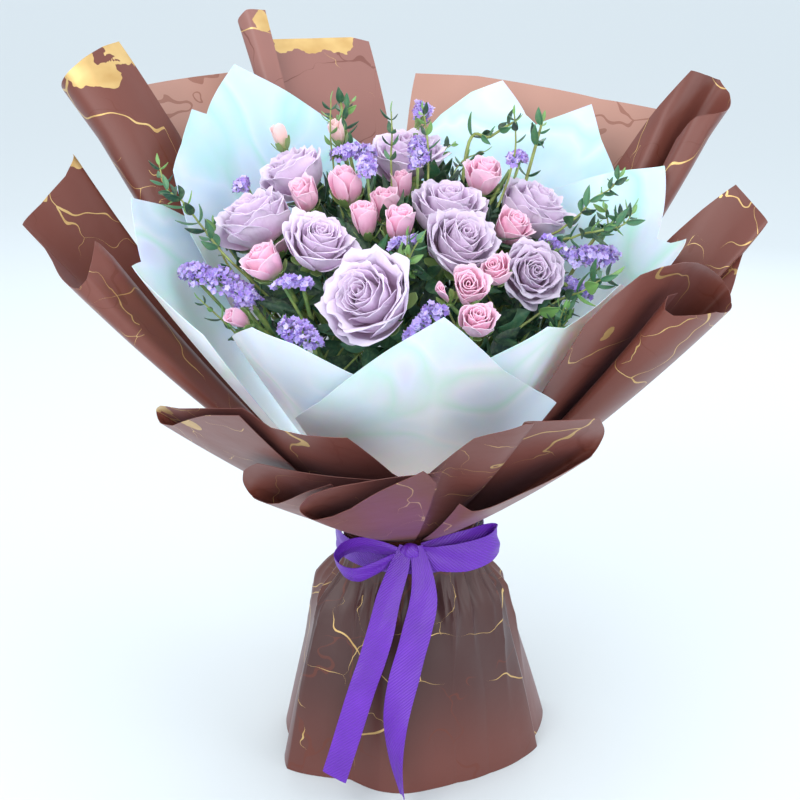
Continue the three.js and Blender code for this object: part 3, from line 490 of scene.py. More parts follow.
def film_outside():
    """Brown satin film with a marbled print of broken gold veins.

    The mesh's tint gives the gold leaf in its red, a darkening in its green, which on the
    skirt is painted shade, and a painted light that makes the film paler in its blue.
    """
    material, tree, shader = new_material(
        "brown_film_outside", 0.40, Specular_IOR_Level=0.36, Coat_Weight=0.1, Coat_Roughness=0.32,
        Sheen_Weight=0.08, Sheen_Roughness=0.4, Sheen_Tint=(*rgb(222, 196, 220), 1))
    where = uv_place(tree, 1, 1)
    cloud = noise(tree, place(tree), 9, 2.0)
    base = mix(tree, cloud, rgb(92, 48, 39), rgb(126, 70, 59))
    foil, shade, painted_light_and_shade = node(tree, "ShaderNodeSeparateColor", Color=tint_of(tree)).outputs
    broad = marbling(tree, where, 7.5, 0.006, 0.9, 0.1)
    fine = marbling(tree, where, 17, 0.007, 0.8, 0.3)
    some = math_node(tree, "GREATER_THAN", noise(tree, where, 6, 1.0), 0.58)
    gold = math_node(tree, "MAXIMUM", broad, math_node(tree, "MULTIPLY", fine, some))
    torn = math_node(tree, "MULTIPLY", noise(tree, where, 38, 3.0, 0.65), 0.9)
    leaf_gold = math_node(tree, "GREATER_THAN", math_node(tree, "ADD", foil, torn), 1.0)
    mask = math_node(tree, "MAXIMUM", gold, leaf_gold)
    rust = marbling(tree, where, 10.0, 0.014, 1.1, 0.4)
    # Painted light from the tint's blue makes the film paler; painted shade from its green darkens it.
    base = mix(tree, painted_light_and_shade, base, rgb(190, 146, 138))
    base = mix(tree, shade, base, rgb(52, 30, 30))
    colour = mix(tree, math_node(tree, "MULTIPLY", rust, 0.6), base, rgb(96, 44, 30))
    glint = mix(tree, noise(tree, where, 60, 2.0), rgb(168, 124, 62), rgb(226, 198, 138))
    colour = mix(tree, mask, colour, glint)
    tree.links.new(colour, shader.inputs["Base Color"])
    tree.links.new(math_node(tree, "MULTIPLY", mask, 0.6), shader.inputs["Metallic"])
    crumple(tree, shader)
    return material


def film_inside():
    """The film's inner side: tan, with the print's cracks showing through in brown."""
    material, tree, shader = new_material("brown_film_inside", 0.42, Coat_Weight=0.15, Coat_Roughness=0.35)
    cloud = noise(tree, place(tree), 8, 2.0)
    base = mix(tree, cloud, rgb(148, 104, 90), rgb(180, 136, 120))
    cracks = marbling(tree, uv_place(tree, 1, 1), 9.0, 0.022, 1.0, 0.25)
    colour = mix(tree, math_node(tree, "MULTIPLY", cracks, 0.75), base, rgb(126, 72, 54))
    tree.links.new(colour, shader.inputs["Base Color"])
    crumple(tree, shader)
    return material


def film_pearl():
    """Pearl film: near white, with soft clouds of aqua, mint, sky and lavender.

    The mesh's tint paints light by its green, whiter and glowing at the neck, and paints shade by its blue,
    which makes it bluer and darker.
    """
    material, tree, shader = new_material(
        "pearl_film", 0.38, Coat_Weight=0.3, Coat_Roughness=0.25, Subsurface_Weight=0.4,
        Subsurface_Scale=0.006, Thin_Film_Thickness=380.0, Thin_Film_IOR=1.4, Sheen_Weight=0.4,
        Sheen_Roughness=0.5)
    where = place(tree)
    ramp = tree.nodes.new("ShaderNodeValToRGB")
    tree.links.new(noise(tree, where, 13, 1.5, 0.4, 0.8), ramp.inputs[0])
    stops = [(0.0, (180, 208, 236)), (0.34, (200, 224, 238)), (0.46, (226, 236, 242)),
             (0.54, (186, 232, 216)), (0.62, (220, 230, 242)), (0.76, (204, 192, 234))]
    for k, (at, colour) in enumerate(stops):
        stop = ramp.color_ramp.elements[k] if k < 2 else ramp.color_ramp.elements.new(at)
        stop.position = at
        stop.color = (*rgb(*colour), 1)
    # Painted shade from the tint's blue makes the film bluer and darker; painted light from its green makes
    # it whiter.
    _, low, blue = node(tree, "ShaderNodeSeparateColor", Color=tint_of(tree)).outputs
    colour = mix(tree, blue, ramp.outputs[0], rgb(150, 176, 212))
    colour = mix(tree, math_node(tree, "MULTIPLY", low, 0.85), colour, rgb(250, 252, 255))
    tree.links.new(colour, shader.inputs["Base Color"])
    # A painted glow: the film gives off light by the tint's green, at the neck, though it is no lamp.
    shader.inputs["Emission Color"].default_value = (0.84, 0.93, 1.0, 1)
    tree.links.new(math_node(tree, "MULTIPLY", low, 0.42), shader.inputs["Emission Strength"])
    bump(tree, shader, noise(tree, where, 26, 2.0, 0.4), 0.22, 0.006)
    return material


def ribbon_material():
    """Violet grosgrain with fine slanting ribs."""
    material, tree, shader = new_material(
        "ribbon_weave", 0.46, Sheen_Weight=0.06, Sheen_Roughness=0.3,
        Sheen_Tint=(*rgb(190, 150, 255), 1), Coat_Weight=0.12)
    where = uv_place(tree, 1, 1)
    ribs = node(tree, "ShaderNodeTexWave", Vector=where, Scale=220.0, Distortion=0.4, Detail=1.0)
    ribs.bands_direction = "DIAGONAL"
    tone = noise(tree, place(tree), 40, 2.0)
    base = mix(tree, tone, rgb(76, 12, 140), rgb(108, 28, 188))
    colour = mix(tree, math_node(tree, "MULTIPLY", ribs.outputs[1], 0.3), base, rgb(52, 6, 108))
    tree.links.new(colour, shader.inputs["Base Color"])
    bump(tree, shader, ribs.outputs[1], 0.5, 0.0006)
    return material


def stem_material():
    """Stems and twigs: their own tint, streaked with a paler green."""
    material, tree, shader = new_material("green_stem", 0.5, Subsurface_Weight=0.05, Subsurface_Scale=0.002)
    streak, pale = patches(tree, place(tree), 90, 3.0, 0.6, 0.4, 0.7)
    colour = mix(tree, pale, tint_of(tree), rgb(150, 168, 92))
    tree.links.new(colour, shader.inputs["Base Color"])
    bump(tree, shader, streak, 0.3, 0.0008)
    return material


def string_material():
    """Pale twisted string."""
    material, tree, shader = new_material("string", 0.9, Sheen_Weight=0.3)
    grain = noise(tree, place(tree), 1400, 2.0)
    colour = mix(tree, grain, rgb(150, 124, 88), rgb(206, 184, 144))
    tree.links.new(colour, shader.inputs["Base Color"])
    bump(tree, shader, grain, 0.6, 0.0008)
    return material


MAUVE = petal_material("mauve_petals", 0.62, 0.2)
PINK = petal_material("pink_petals", 0.58, 0.15)
VIOLET = statice_material()
LEAF = leaf_material()
STEM = stem_material()
STRING = string_material()
OUTSIDE = film_outside()
INSIDE = film_inside()
PEARL = film_pearl()
RIBBON_LOOK = ribbon_material()


# --------------------------------------------------------------------- flowers

# Each rose is its place on the dome as bearing, tilt and reach, the way it faces, its radius
# and a painted light and shade factor on its tones, which makes some heads paler and others darker.
MAUVE_ROSES = [
    ("mauve_rose_1", (-11.5, 61, 161), (-32, 55), 32.5, 0.94),
    ("mauve_rose_2", (-32.5, 46, 151), (25, 34), 25.5, 0.95),
    ("mauve_rose_3", (-66, 46, 162), (-70, 24), 30, 0.95),
    ("mauve_rose_4", (-92, 32, 160), (-75, 30), 28, 1.0),
    ("mauve_rose_5", (-175, 10, 148), (0, 20), 29, 1.0),
    ("mauve_rose_6", (28, 24.5, 133), (20, 20), 28.5, 0.9),
    ("mauve_rose_7", (21, 42, 140), (30, 42), 28, 0.85),
    ("mauve_rose_8", (80, 38, 145), (70, 30), 30, 0.9),
    ("mauve_rose_9", (42, 55.5, 145), (10, 62), 24, 0.88),
]

# Each head is its place, the way it faces, its radius and how far it has opened.
PINK_ROSES = [
    ("pink_spray_1", [((-45, 55.5, 163), (-60, 30), 15.5, "open"), ((-58, 48, 146), (-20, 20), 12, "cup")]),
    ("pink_spray_2", [((-63, 34, 150), (-50, 35), 14.5, "open")]),
    ("pink_spray_3", [((-50, 23, 144), (-20, 15), 14.5, "cup")]),
    ("pink_spray_4", [((-23, 34, 139), (-20, 18), 13, "cup"), ((-19, 24, 132), (0, 12), 13, "cup"),
                      ((-17, 10, 131), (20, 10), 12.5, "bud"), ((-6, 34.5, 138), (20, 18), 13, "cup")]),
    ("pink_spray_5", [((70, 22, 147), (10, 20), 16, "open")]),
    ("pink_spray_6", [((54, 39, 136), (40, 38), 15, "open")]),
    ("pink_spray_7", [((25, 54, 153), (-20, 45), 12.5, "open"), ((15, 58.5, 160), (0, 58), 14, "open"),
                      ((9, 59.5, 157), (-22, 40), 9, "bud")]),
    ("pink_spray_8", [((15, 66.5, 168), (10, 42), 13.5, "open")]),
    ("pink_bud_1", [((-109, 19, 170), (-60, 20), 10, "pale")]),
    ("pink_bud_2", [((-97, 30.5, 184), (-90, 20), 9.5, "pale")]),
    ("pink_bud_3", [((-45, 70, 168), (-50, 60), 10, "bud")]),
]

# Each tuft is a list of lines on the dome and how thick it is about them.
STATICE = [
    ("statice_1", [[(-66, 65, 176), (-56, 64, 164), (-48, 65, 158)],
                   [(-52, 67, 152), (-48, 67, 157)]], 10.5),
    ("statice_2", [[(-29, 70, 164), (-23, 72, 167)]], 9.5),
    ("statice_3", [[(-37, 60, 156), (-32, 59, 153)]], 7.5),
    ("statice_4", [[(-100, 20, 152), (-90, 12, 150)], [(-40, 18, 152), (-25, 25, 157)]], 8.5),
    ("statice_5", [[(172, 15, 166), (168, 7, 164)], [(20, 6, 156), (8, 15, 150)]], 7.5),
    ("statice_6", [[(95, 29, 161), (74, 27, 160)]], 7.5),
    ("statice_7", [[(80, 61, 160), (60, 57, 155), (50, 52, 149)], [(50, 60, 149), (56, 65, 152)]], 10),
    ("statice_8", [[(0, 68, 160), (6, 64, 157)]], 9.5),
    ("statice_9", [[(-5, 43, 138), (2, 42, 139)]], 6),
    ("statice_10", [[(-92, 43, 170), (-86, 44, 171)]], 6.5),
]


def place_of(at):
    """The point of the dome at a bearing, tilt and reach."""
    return DOME + direction(at[0], at[1]) * at[2]


# Every ball that the flowers keep to: its group, centre and radius.
BALLS = [(name, place_of(at), radius) for name, at, _, radius, _ in MAUVE_ROSES]
for spray_name, heads in PINK_ROSES:
    BALLS += [(f"{spray_name}{k}", place_of(head[0]), head[2]) for k, head in enumerate(heads)]
for tuft_name, lines, radius in STATICE:
    BALLS += [(tuft_name, place_of(at), radius) for line in lines for at in line]

# How softly neighbours press each other, the air left between them, and how far apart
# they may be to press at all.
PRESS_DEPTH = 6.0
PRESS_AIR = 0.7
PRESS_RANGE = 8


def press(points, group, centre, radius):
    """Press points of one ball back behind the planes that divide it from others.

    The small buds stand clear, so they keep their shape.
    """
    moved = points.copy()
    if group.startswith("pink_bud"):
        return moved
    for _ in range(2):
        for other, other_centre, other_radius in BALLS:
            if other == group:
                continue
            toward = other_centre - centre
            distance = np.linalg.norm(toward)
            toward = toward / distance
            if distance > radius + other_radius + PRESS_RANGE:
                continue
            limit = (distance ** 2 + radius ** 2 - other_radius ** 2) / (2 * distance) - PRESS_AIR
            beyond = (moved - centre) @ toward - limit + PRESS_DEPTH
            kept = PRESS_DEPTH * (1 - np.exp(-np.maximum(beyond, 0) / PRESS_DEPTH))
            moved = moved + np.where(beyond > 0, kept - beyond, 0)[..., None] * toward
    return moved


def axes_of(way, roll):
    """A frame whose Z runs a way, turned about it."""
    way = unit(np.asarray(way, float))
    helper = np.array([0.0, 0.0, 1.0]) if abs(way[2]) < 0.9 else np.array([0.0, 1.0, 0.0])
    side = unit(np.cross(helper, way))
    third = np.cross(way, side)
    c, s = math.cos(roll), math.sin(roll)
    return np.stack([c * side + s * third, -s * side + c * third, way], axis=1)


# How a kind of flower opens: its petals, how far the last one opens (0..1), its size
# against the radius, half a petal's width from the heart to the last petal in parts of
# the radius, how much its edges wave and roll back, and the cells of a petal.
ROSE_KIND = {"count": 27, "open": 1.0, "grow": 0.98, "half": (0.42, 0.92), "wave": 0.062, "roll": 1.0,
             "cells": (17, 17)}
PINK_KINDS = {
    "open": {"count": 19, "open": 0.70, "grow": 1.42, "half": (0.36, 0.62), "wave": 0.04, "roll": 0.9,
             "cells": (13, 13)},
    "cup": {"count": 12, "open": 0.46, "grow": 1.80, "half": (0.34, 0.50), "wave": 0.03, "roll": 0.8,
            "cells": (13, 13)},
    "bud": {"count": 8, "open": 0.33, "grow": 1.85, "half": (0.30, 0.42), "wave": 0.015, "roll": 0.7,
            "cells": (13, 12)},
}
PINK_KINDS["pale"] = PINK_KINDS["bud"]

# A petal's side view at four stages from the tight heart to fully open, as reach and
# height in parts of the radius.
STAGES = np.array([
    [(0.03, -0.55), (0.05, -0.28), (0.07, 0.00), (0.06, 0.26), (0.05, 0.42)],
    [(0.04, -0.64), (0.22, -0.40), (0.31, -0.08), (0.30, 0.22), (0.33, 0.40)],
    [(0.05, -0.72), (0.40, -0.52), (0.57, -0.18), (0.59, 0.12), (0.70, 0.27)],
    [(0.06, -0.80), (0.54, -0.66), (0.82, -0.34), (0.90, -0.04), (1.06, 0.04)],
])

# Each flower's tones: its lip, its face, the deep tone, which is painted shade for the heart of the bloom
# and the tighter inner petals, and its root.
MAUVE_TONES = {"lip": rgb(232, 215, 241), "face": rgb(234, 212, 240), "deep": rgb(214, 168, 214),
               "root": rgb(236, 186, 212)}
PINK_TONES = {"lip": rgb(255, 216, 236), "face": rgb(255, 206, 231), "deep": rgb(246, 140, 188),
              "root": rgb(248, 222, 196)}
PALE_TONES = {"lip": rgb(255, 226, 226), "face": rgb(252, 208, 206), "deep": rgb(240, 180, 176),
              "root": rgb(216, 226, 150)}

PETAL_THICKNESS = 0.35
# Each petal stands this many degrees on from the last.
PETAL_TURN = 139


def petal(kind, opened, turn, radius, seed, tones):
    """One petal as a grid of points about the bloom's axis, with its colours and UVs."""
    draw = random.Random(seed)
    columns, rows = kind["cells"]
    across = np.linspace(-1, 1, columns)[:, None]
    rise = np.linspace(0, 1, rows)[None, :] ** 0.9
    size = radius * kind["grow"]
    stage = min(opened, 0.999) * (len(STAGES) - 1)
    profile = lerp(STAGES[int(stage)], STAGES[int(stage) + 1], stage - int(stage)).copy()
    profile[1:, 0] *= draw.uniform(0.95, 1.05)
    profile[3:, 1] += draw.uniform(-0.05, 0.05)
    profile[4, 0] += 0.06 * opened * draw.uniform(-1, 1)
    profile = curve_through(profile, 10) * size
    tip = 0.08 * (0.3 + opened) * np.exp(-((across - draw.uniform(-0.15, 0.15)) / 0.2) ** 2)
    reach = np.clip(rise * (0.94 - 0.20 * np.abs(across) ** 2.6 + tip), 0, 1) * (len(profile) - 1)
    r = np.interp(reach, np.arange(len(profile)), profile[:, 0])
    z = np.interp(reach, np.arange(len(profile)), profile[:, 1])
    half = size * lerp(*kind["half"], opened) * draw.uniform(0.92, 1.08)
    wide = half * (0.22 + 0.78 * smooth(0, 0.6, rise)) * (1 - 0.12 * smooth(0.75, 1.0, rise))
    theta = turn + across * np.minimum(wide / np.maximum(r, 0.12 * size), 2.3 - 1.1 * opened)
    high = smooth(0.45, 1.0, rise)
    roll = kind["roll"] * opened ** 0.7 * np.abs(across) ** 2.4 * smooth(0.4, 1, rise)
    waves = draw.uniform(1.4, 2.6) * math.pi
    swell = np.sin(waves * across + draw.uniform(0, 6.28))
    swell = swell + 0.45 * np.sin(2.7 * waves * across + draw.uniform(0, 6.28))
    ripple = kind["wave"] * size * opened ** 0.6 * high * swell
    fold = -0.05 * size * opened * np.exp(-(across / 0.35) ** 2) * np.sin(math.pi * rise)
    fold = fold * draw.uniform(0.2, 1)
    spiral = size * (0.025 + 0.045 * opened) * across * smooth(0.1, 0.5, rise)
    r = np.maximum(r + spiral + size * 0.13 * roll + ripple + fold, 0.012 * size)
    z = z - size * 0.13 * roll + 0.8 * ripple
    grid = np.stack([r * np.cos(theta), r * np.sin(theta), z + 0 * theta], -1)
    # Painted shade: each petal runs from the deep tone at its foot to its face tone higher up, and the
    # tighter inner petals stay nearer the deep tone. The lip tone makes the rim, and the top of the open
    # petals, paler.
    lit = np.clip(smooth(0.2, 0.95, rise) * (0.25 + 0.75 * opened ** 0.8) + 0.12, 0, 1)
    side = 0.8 * smooth(0.84, 1.0, np.abs(across)) * smooth(0.2, 0.6, rise)
    edge = np.maximum(smooth(0.88, 1.0, rise), side)
    face = lerp(tones["deep"], tones["face"], (lit + 0 * across)[..., None])
    colours = lerp(face, tones["lip"], (0.45 * edge + 0.35 * opened * high)[..., None])
    colours = lerp(tones["root"], colours, (smooth(0.05, 0.5, rise) + 0 * across)[..., None])
    uvs = np.stack(np.broadcast_arrays(across * 0.5 + draw.uniform(0, 9), rise + draw.uniform(0, 9)), -1)
    return grid, colours * draw.uniform(0.95, 1.04), uvs


def bloom(shape, kind, tones, group, centre, faces, radius, seed):
    """A whole flower head, from its tight heart out to its open petals."""
    axes = axes_of(direction(*faces), 6.28 * chance(seed))
    total = kind["count"]
    for k in range(total):
        opened = kind["open"] * (k / (total - 1)) ** 0.95
        opened = min(kind["open"], opened * (1 + 0.14 * (chance(seed + 7 * k) - 0.5)))
        turn = math.radians(PETAL_TURN * k) + 0.3 * (chance(seed + k) - 0.5)
        grid, colours, uvs = petal(kind, opened, turn, radius, seed * 100 + k, tones)
        sway = axes_of((0.16 * (chance(seed + 3 * k) - 0.5), 0.16 * (chance(seed + 5 * k) - 0.5), 1), 0)
        grid = press(grid @ sway.T @ axes.T + centre, group, centre, radius)
        shape.sheet(grid, PETAL_THICKNESS, colours=np.clip(colours, 0, 1), uvs=uvs,
                    back=np.clip(colours * 1.03, 0, 1))


SEPALS = 5
SEPAL_THICKNESS = 0.4
CALYX_GREEN = rgb(120, 150, 84)
# The slot of the green material in a flower's piece.
GREEN_SLOT = 1


def calyx(shape, centre, faces, radius, seed, upright=0.0):
    """The green hip and pointed sepals under a head, closer to it where upright."""
    axes = axes_of(direction(*faces), 6.28 * chance(seed))
    heights = np.array([-0.98, -0.93, -0.87, -0.81, -0.76]) * radius
    path = np.stack([0 * heights, 0 * heights, heights], -1) @ axes.T + centre
    shape.tube(path, np.array([0.08, 0.13, 0.16, 0.13, 0.05]) * radius, 10, GREEN_SLOT, CALYX_GREEN)
    for k in range(SEPALS):
        draw = random.Random(seed + 31 * k)
        rise = np.linspace(0, 1, 8)[None, :]
        across = np.linspace(-1, 1, 3)[:, None]
        length = radius * draw.uniform(0.8, 1.1)
        out = 0.10 * radius + length * lerp(0.62, 0.42, upright) * rise ** 0.8
        up = -0.87 * radius + length * lerp(0.16, 0.62, upright) * rise ** 1.4
        width = 0.15 * radius * np.sin(math.pi * (0.12 + 0.88 * (1 - rise)) ** 0.8)
        turn = k * 2 * math.pi / SEPALS + draw.uniform(-0.2, 0.2)
        side = width * across
        grid = np.stack([out * math.cos(turn) - side * math.sin(turn),
                         out * math.sin(turn) + side * math.cos(turn),
                         up + 0.04 * radius * across ** 2], -1)
        green = CALYX_GREEN * draw.uniform(0.8, 1.2)
        shape.sheet(grid @ axes.T + centre, SEPAL_THICKNESS, slots=(GREEN_SLOT, GREEN_SLOT), colours=green)


def dress(piece, record_slot, *nodes):
    """Attach a finished piece to the root body and hide the nodes it replaces. Its material slot,
    record_slot, is not used.
    """
    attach(piece, "root")
    if nodes:
        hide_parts(*nodes)


for index, (name, at, faces, radius, light) in enumerate(MAUVE_ROSES):
    rose = Shape()
    # Painted light and shade: the head's tones are scaled by its factor.
    tones = {part: colour * light for part, colour in MAUVE_TONES.items()}
    bloom(rose, ROSE_KIND, tones, name, place_of(at), faces, radius, 20 * index + 3)
    calyx(rose, place_of(at), faces, radius, 20 * index)
    dress(rose.build(f"{name}_bloom", [MAUVE, LEAF]), "mauve_petal", name)


# The calyx of each kind of pink head: its size against the head's, and how upright it is.
CALYX_SIZES = {"open": (1.29, 0.45), "cup": (1.52, 0.85), "bud": (1.55, 1.0), "pale": (1.55, 1.0)}
FORK_DROP = 26
STALK_GREEN = rgb(122, 152, 82)


def fork_of(heads):
    """The point where a spray's stalks part."""
    middle = np.mean([place_of(head[0]) for head in heads], axis=0)
    return middle - FORK_DROP * unit(middle - TIE_MIDDLE)


for index, (name, heads) in enumerate(PINK_ROSES):
    spray = Shape()
    for k, (at, faces, radius, stage) in enumerate(heads):
        centre = place_of(at)
        tones = PALE_TONES if stage == "pale" else PINK_TONES
        bloom(spray, PINK_KINDS[stage], tones, f"{name}{k}", centre, faces, radius, 300 + 20 * index + 5 * k)
        wide, upright = CALYX_SIZES[stage]
        calyx(spray, centre, faces, radius * wide, 300 + 20 * index + k, upright)
        if len(heads) > 1:
            down = direction(*faces)
            fork = fork_of(heads)
            base = centre - down * radius * 0.8
            stalk = curve_through([fork, lerp(fork, base, 0.6) - down * 3, base], 5)
            spray.tube(stalk, np.linspace(1.6, 1.2, len(stalk)), 7, GREEN_SLOT, STALK_GREEN)
    dress(spray.build(f"{name}_heads", [PINK, LEAF]), "pink_petal", name)


FLORET_LOBES = 5
FLORET_TURNS = 2 * FLORET_LOBES
# A floret's rings from its point round its lip to the floor of its cup, each as radius,
# height and how deeply it is lobed.
FLORET_RINGS = [(0.10, 0.0, 0), (0.34, 0.55, 0), (1.0, 1.0, 0.16), (0.88, 0.98, 0.16), (0.24, 0.6, 0)]


def floret_points():
    """A papery cup with a lobed rim, its point at the origin and its mouth at +Z."""
    turns = np.linspace(0, 2 * math.pi, FLORET_TURNS, endpoint=False)
    points = []
    for radius, height, lobe in FLORET_RINGS:
        wave = radius * (1 + lobe * np.cos(FLORET_LOBES * turns))
        lift = height + 0.6 * lobe * np.sin(FLORET_LOBES * turns + 1)
        points.append(np.stack([wave * np.cos(turns), wave * np.sin(turns), lift], -1))
    return np.concatenate(points)


FLORET_POINTS = floret_points()
FLORET_FACES = tube_faces(len(FLORET_RINGS), FLORET_TURNS)
FLORET_SIZES = (1.5, 2.6)
FLORET_DEPTH = 1.5
FLORET_STALK = rgb(104, 138, 84)
STATICE_TONES = [rgb(172, 148, 228), rgb(154, 124, 216), rgb(194, 174, 240), rgb(208, 192, 246),
                 rgb(128, 92, 200)]


def statice(shape, group, line, radius, seed):
    """A dense spray of papery florets round a line, on short winged stalks."""
    draw = np.random.default_rng(seed)
    path = curve_through([place_of(at) for at in line], 10)
    run = unit(path[-1] - path[0])
    path = np.concatenate([[path[0] - run * 0.4 * radius], path, [path[-1] + run * 0.4 * radius]])
    lengths = np.concatenate([[0], np.cumsum(np.linalg.norm(np.diff(path, axis=0), axis=1))])
    total = int(44 + lengths[-1] * radius * 0.48)
    frames, places, tones = [], [], []
    for k in range(total):
        at = (k + draw.uniform(0, 1)) / total * lengths[-1]
        middle = np.array([np.interp(at, lengths, path[:, axis]) for axis in range(3)])
        out = draw.normal(size=3)
        ends = (at / lengths[-1] - 0.5) * 2
        out = unit(out - run * out.dot(run) + run * (ends ** 3) * 1.2)
        if out[2] < -0.3:
            out[2] = -out[2]
        reach = radius * draw.uniform(0.5, 1.06) * (1 - 0.25 * ends ** 4)
        tip = press((middle + out * reach)[None], group, middle, radius)[0]
        way = unit(out + 0.45 * draw.normal(size=3))
        size = draw.uniform(*FLORET_SIZES)
        frames.append(axes_of(way, draw.uniform(0, 6)) * np.array([1, 1, FLORET_DEPTH]) * size)
        places.append(tip - way * size * FLORET_DEPTH)
        tone = STATICE_TONES[int(draw.integers(len(STATICE_TONES)))] * draw.uniform(0.9, 1.1)
        # Painted shade: florets that sit deep in the tuft are darker. Each floret also runs darker toward
        # its foot and lighter in its cup.
        depth = 0.70 + 0.30 * reach / radius
        inner = np.linspace(0.75, 1.0, len(FLORET_POINTS))[:, None]
        tones.append(np.clip(tone * depth * inner, 0, 1))
        if k % 3 == 0:
            stalk = [middle, lerp(middle, tip, 0.5) + [0, 0, -1], tip - way * size]
            shape.tube(stalk, [0.9, 0.7, 0.5], 5, GREEN_SLOT, FLORET_STALK)
    shape.copies(FLORET_POINTS, FLORET_FACES, np.array(frames), np.array(places), np.array(tones))
    shape.tube(path, radius * 0.14, 6, GREEN_SLOT, rgb(98, 132, 84))


def stalk_down(shape, top):
    """A thin stalk from a tuft's middle down into the bunch, to the tie."""
    below = lerp(TIE_MIDDLE, top, 0.62)
    run = curve_through([below, lerp(below, top, 0.6) + [0, 0, 1], top], 5)
    shape.tube(run, 1.1, 6, GREEN_SLOT, FLORET_STALK)


# The part holds this many of the tufts. The last ones are small and peep out between heads.
SOLID_TUFTS = 8
SIDE_TUFT_RADIUS = 7

for index, (name, lines, radius) in enumerate(STATICE):
    tuft = Shape()
    for k, line in enumerate(lines):
        thick = radius if k == 0 else min(radius, SIDE_TUFT_RADIUS)
        statice(tuft, name, line, thick, 600 + 20 * k + index)
        stalk_down(tuft, place_of(line[0]))
    nodes = (name,) if index < SOLID_TUFTS else ()
    dress(tuft.build(f"{name}_florets", [VIOLET, STEM]), "statice", *nodes)


# ---------------------------------------------------------------- leafy sprigs

# Each sprig is where it forks from its stalk and where it ends, as bearing, tilt and reach
# on the dome, how many pairs of leaves it has, and how far its foot is swung round.
SPRIGS = [
    ("sprig_1", (-74, 57, 150), (-81, 60, 190), 4, 0),
    ("sprig_2", (-50, 78, 146), (-60, 79, 166), 3, 0),
    ("sprig_3", (-130, 22, 150), (-140, 24, 196), 5, 0),
    ("sprig_4", (120, 18, 152), (112, 26, 184), 3, 16),
    ("sprig_5", (108, 34, 165), (115, 33, 196), 3, 0),
    ("sprig_6", (78, 56, 152), (82, 55, 196), 5, 0),
    ("sprig_7", (42, 74, 152), (50, 72, 172), 3, 0),
    ("sprig_8", (-2, 52, 128), (-1, 50, 158), 3, 24),
    ("sprig_9", (-36, 78, 150), (-42, 77, 162), 3, 12),
]
BARE_SPRIGS = ("sprig_4", "sprig_5")
SIDE_BRANCHES = 3
SPRIG_RING = 19.0
FOOT_RING = 44
# How far the wrapping leans out, as bearing and lean, for what must stay inside it.
WRAP_ROOM = [(-180, 25), (-130, 25), (-105, 26), (-92, 29.5), (-80, 31.5), (-66, 28), (-50, 29), (-20, 31),
             (20, 31), (50, 29.5), (80, 28.5), (100, 31), (110, 28), (120, 25), (180, 25)]


def clear_of(point, air):
    """Push a point out of every ball, for what grows between the flowers."""
    moved = np.array(point, float)
    for _ in range(3):
        for _, centre, radius in BALLS:
            away = moved - centre
            room = radius * 1.02 + air
            distance = np.linalg.norm(away)
            if distance < room:
                moved = centre + away / distance * room
    return moved


def buried(root, end):
    """Whether a leaf from its root to its end would lie inside a flower."""
    for part in (0.35, 0.6, 0.85):
        spot = lerp(root, end, part)
        if any(np.linalg.norm(spot - centre) < radius for _, centre, radius in BALLS):
            return True
    return False


def within(point, less=0.0):
    """Draw a point in until it stands inside the wrapping."""
    bearing = math.degrees(math.atan2(point[0], -point[1]))
    lean = np.interp(bearing, [a for a, _ in WRAP_ROOM], [b for _, b in WRAP_ROOM]) - less
    room = WAIST_RADIUS - 2 + max(0.0, point[2] - TIE_HEIGHT) * math.tan(math.radians(lean))
    share = min(1.0, room / math.hypot(point[0], point[1]))
    return np.array([point[0] * share, point[1] * share, point[2]])


def spiral_foot(top, tie_radius, foot_radius, swing):
    """A stem's foot and its place at the tie, in a spiral round the axis."""
    bearing = math.degrees(math.atan2(top[0], -top[1])) + swing
    twist = math.degrees(math.acos(min(1, tie_radius / math.hypot(top[0], top[1]))))
    below = math.degrees(math.acos(min(1, tie_radius / foot_radius)))
    return (polar(bearing - twist - below, foot_radius, 0.0),
            polar(bearing - twist, tie_radius, float(TIE_HEIGHT)))


LEAF_THICKNESS = 0.35
LEAF_FOLD = 0.35


def leaf(shape, root, along, side, length, width, colour, bend=0.25, cells=(5, 9)):
    """A pointed leaf from its root, folded along its rib and bent back at its tip."""
    across = np.linspace(-1, 1, cells[0])[:, None]
    rise = np.linspace(0, 1, cells[1])[None, :]
    out = unit(np.cross(along, side))
    outline = np.sin(math.pi * np.clip(rise, 0.02, 0.99) ** 0.82) ** 0.85
    wide = width * 0.5 * outline * across
    height = LEAF_FOLD * np.abs(wide) - bend * length * rise ** 2 * 0.5
    grid = (root + along * (rise * length)[..., None] * (1 + 0 * across[..., None])
            + side * wide[..., None] + out * height[..., None])
    rib = np.exp(-(across / 0.18) ** 2) * 0.35 + 0 * rise
    colours = lerp(colour, np.minimum(colour * 1.9, 1), rib[..., None])
    uvs = np.stack(np.broadcast_arrays(across + 3 * chance(length), rise), -1)
    shape.sheet(grid, LEAF_THICKNESS, colours=colours, uvs=uvs, back=np.minimum(colours * 1.25, 1))


LEAF_TONES = [rgb(34, 76, 52), rgb(46, 94, 64), rgb(62, 110, 78), rgb(28, 60, 46), rgb(108, 152, 82)]
TWIG = rgb(124, 132, 68)


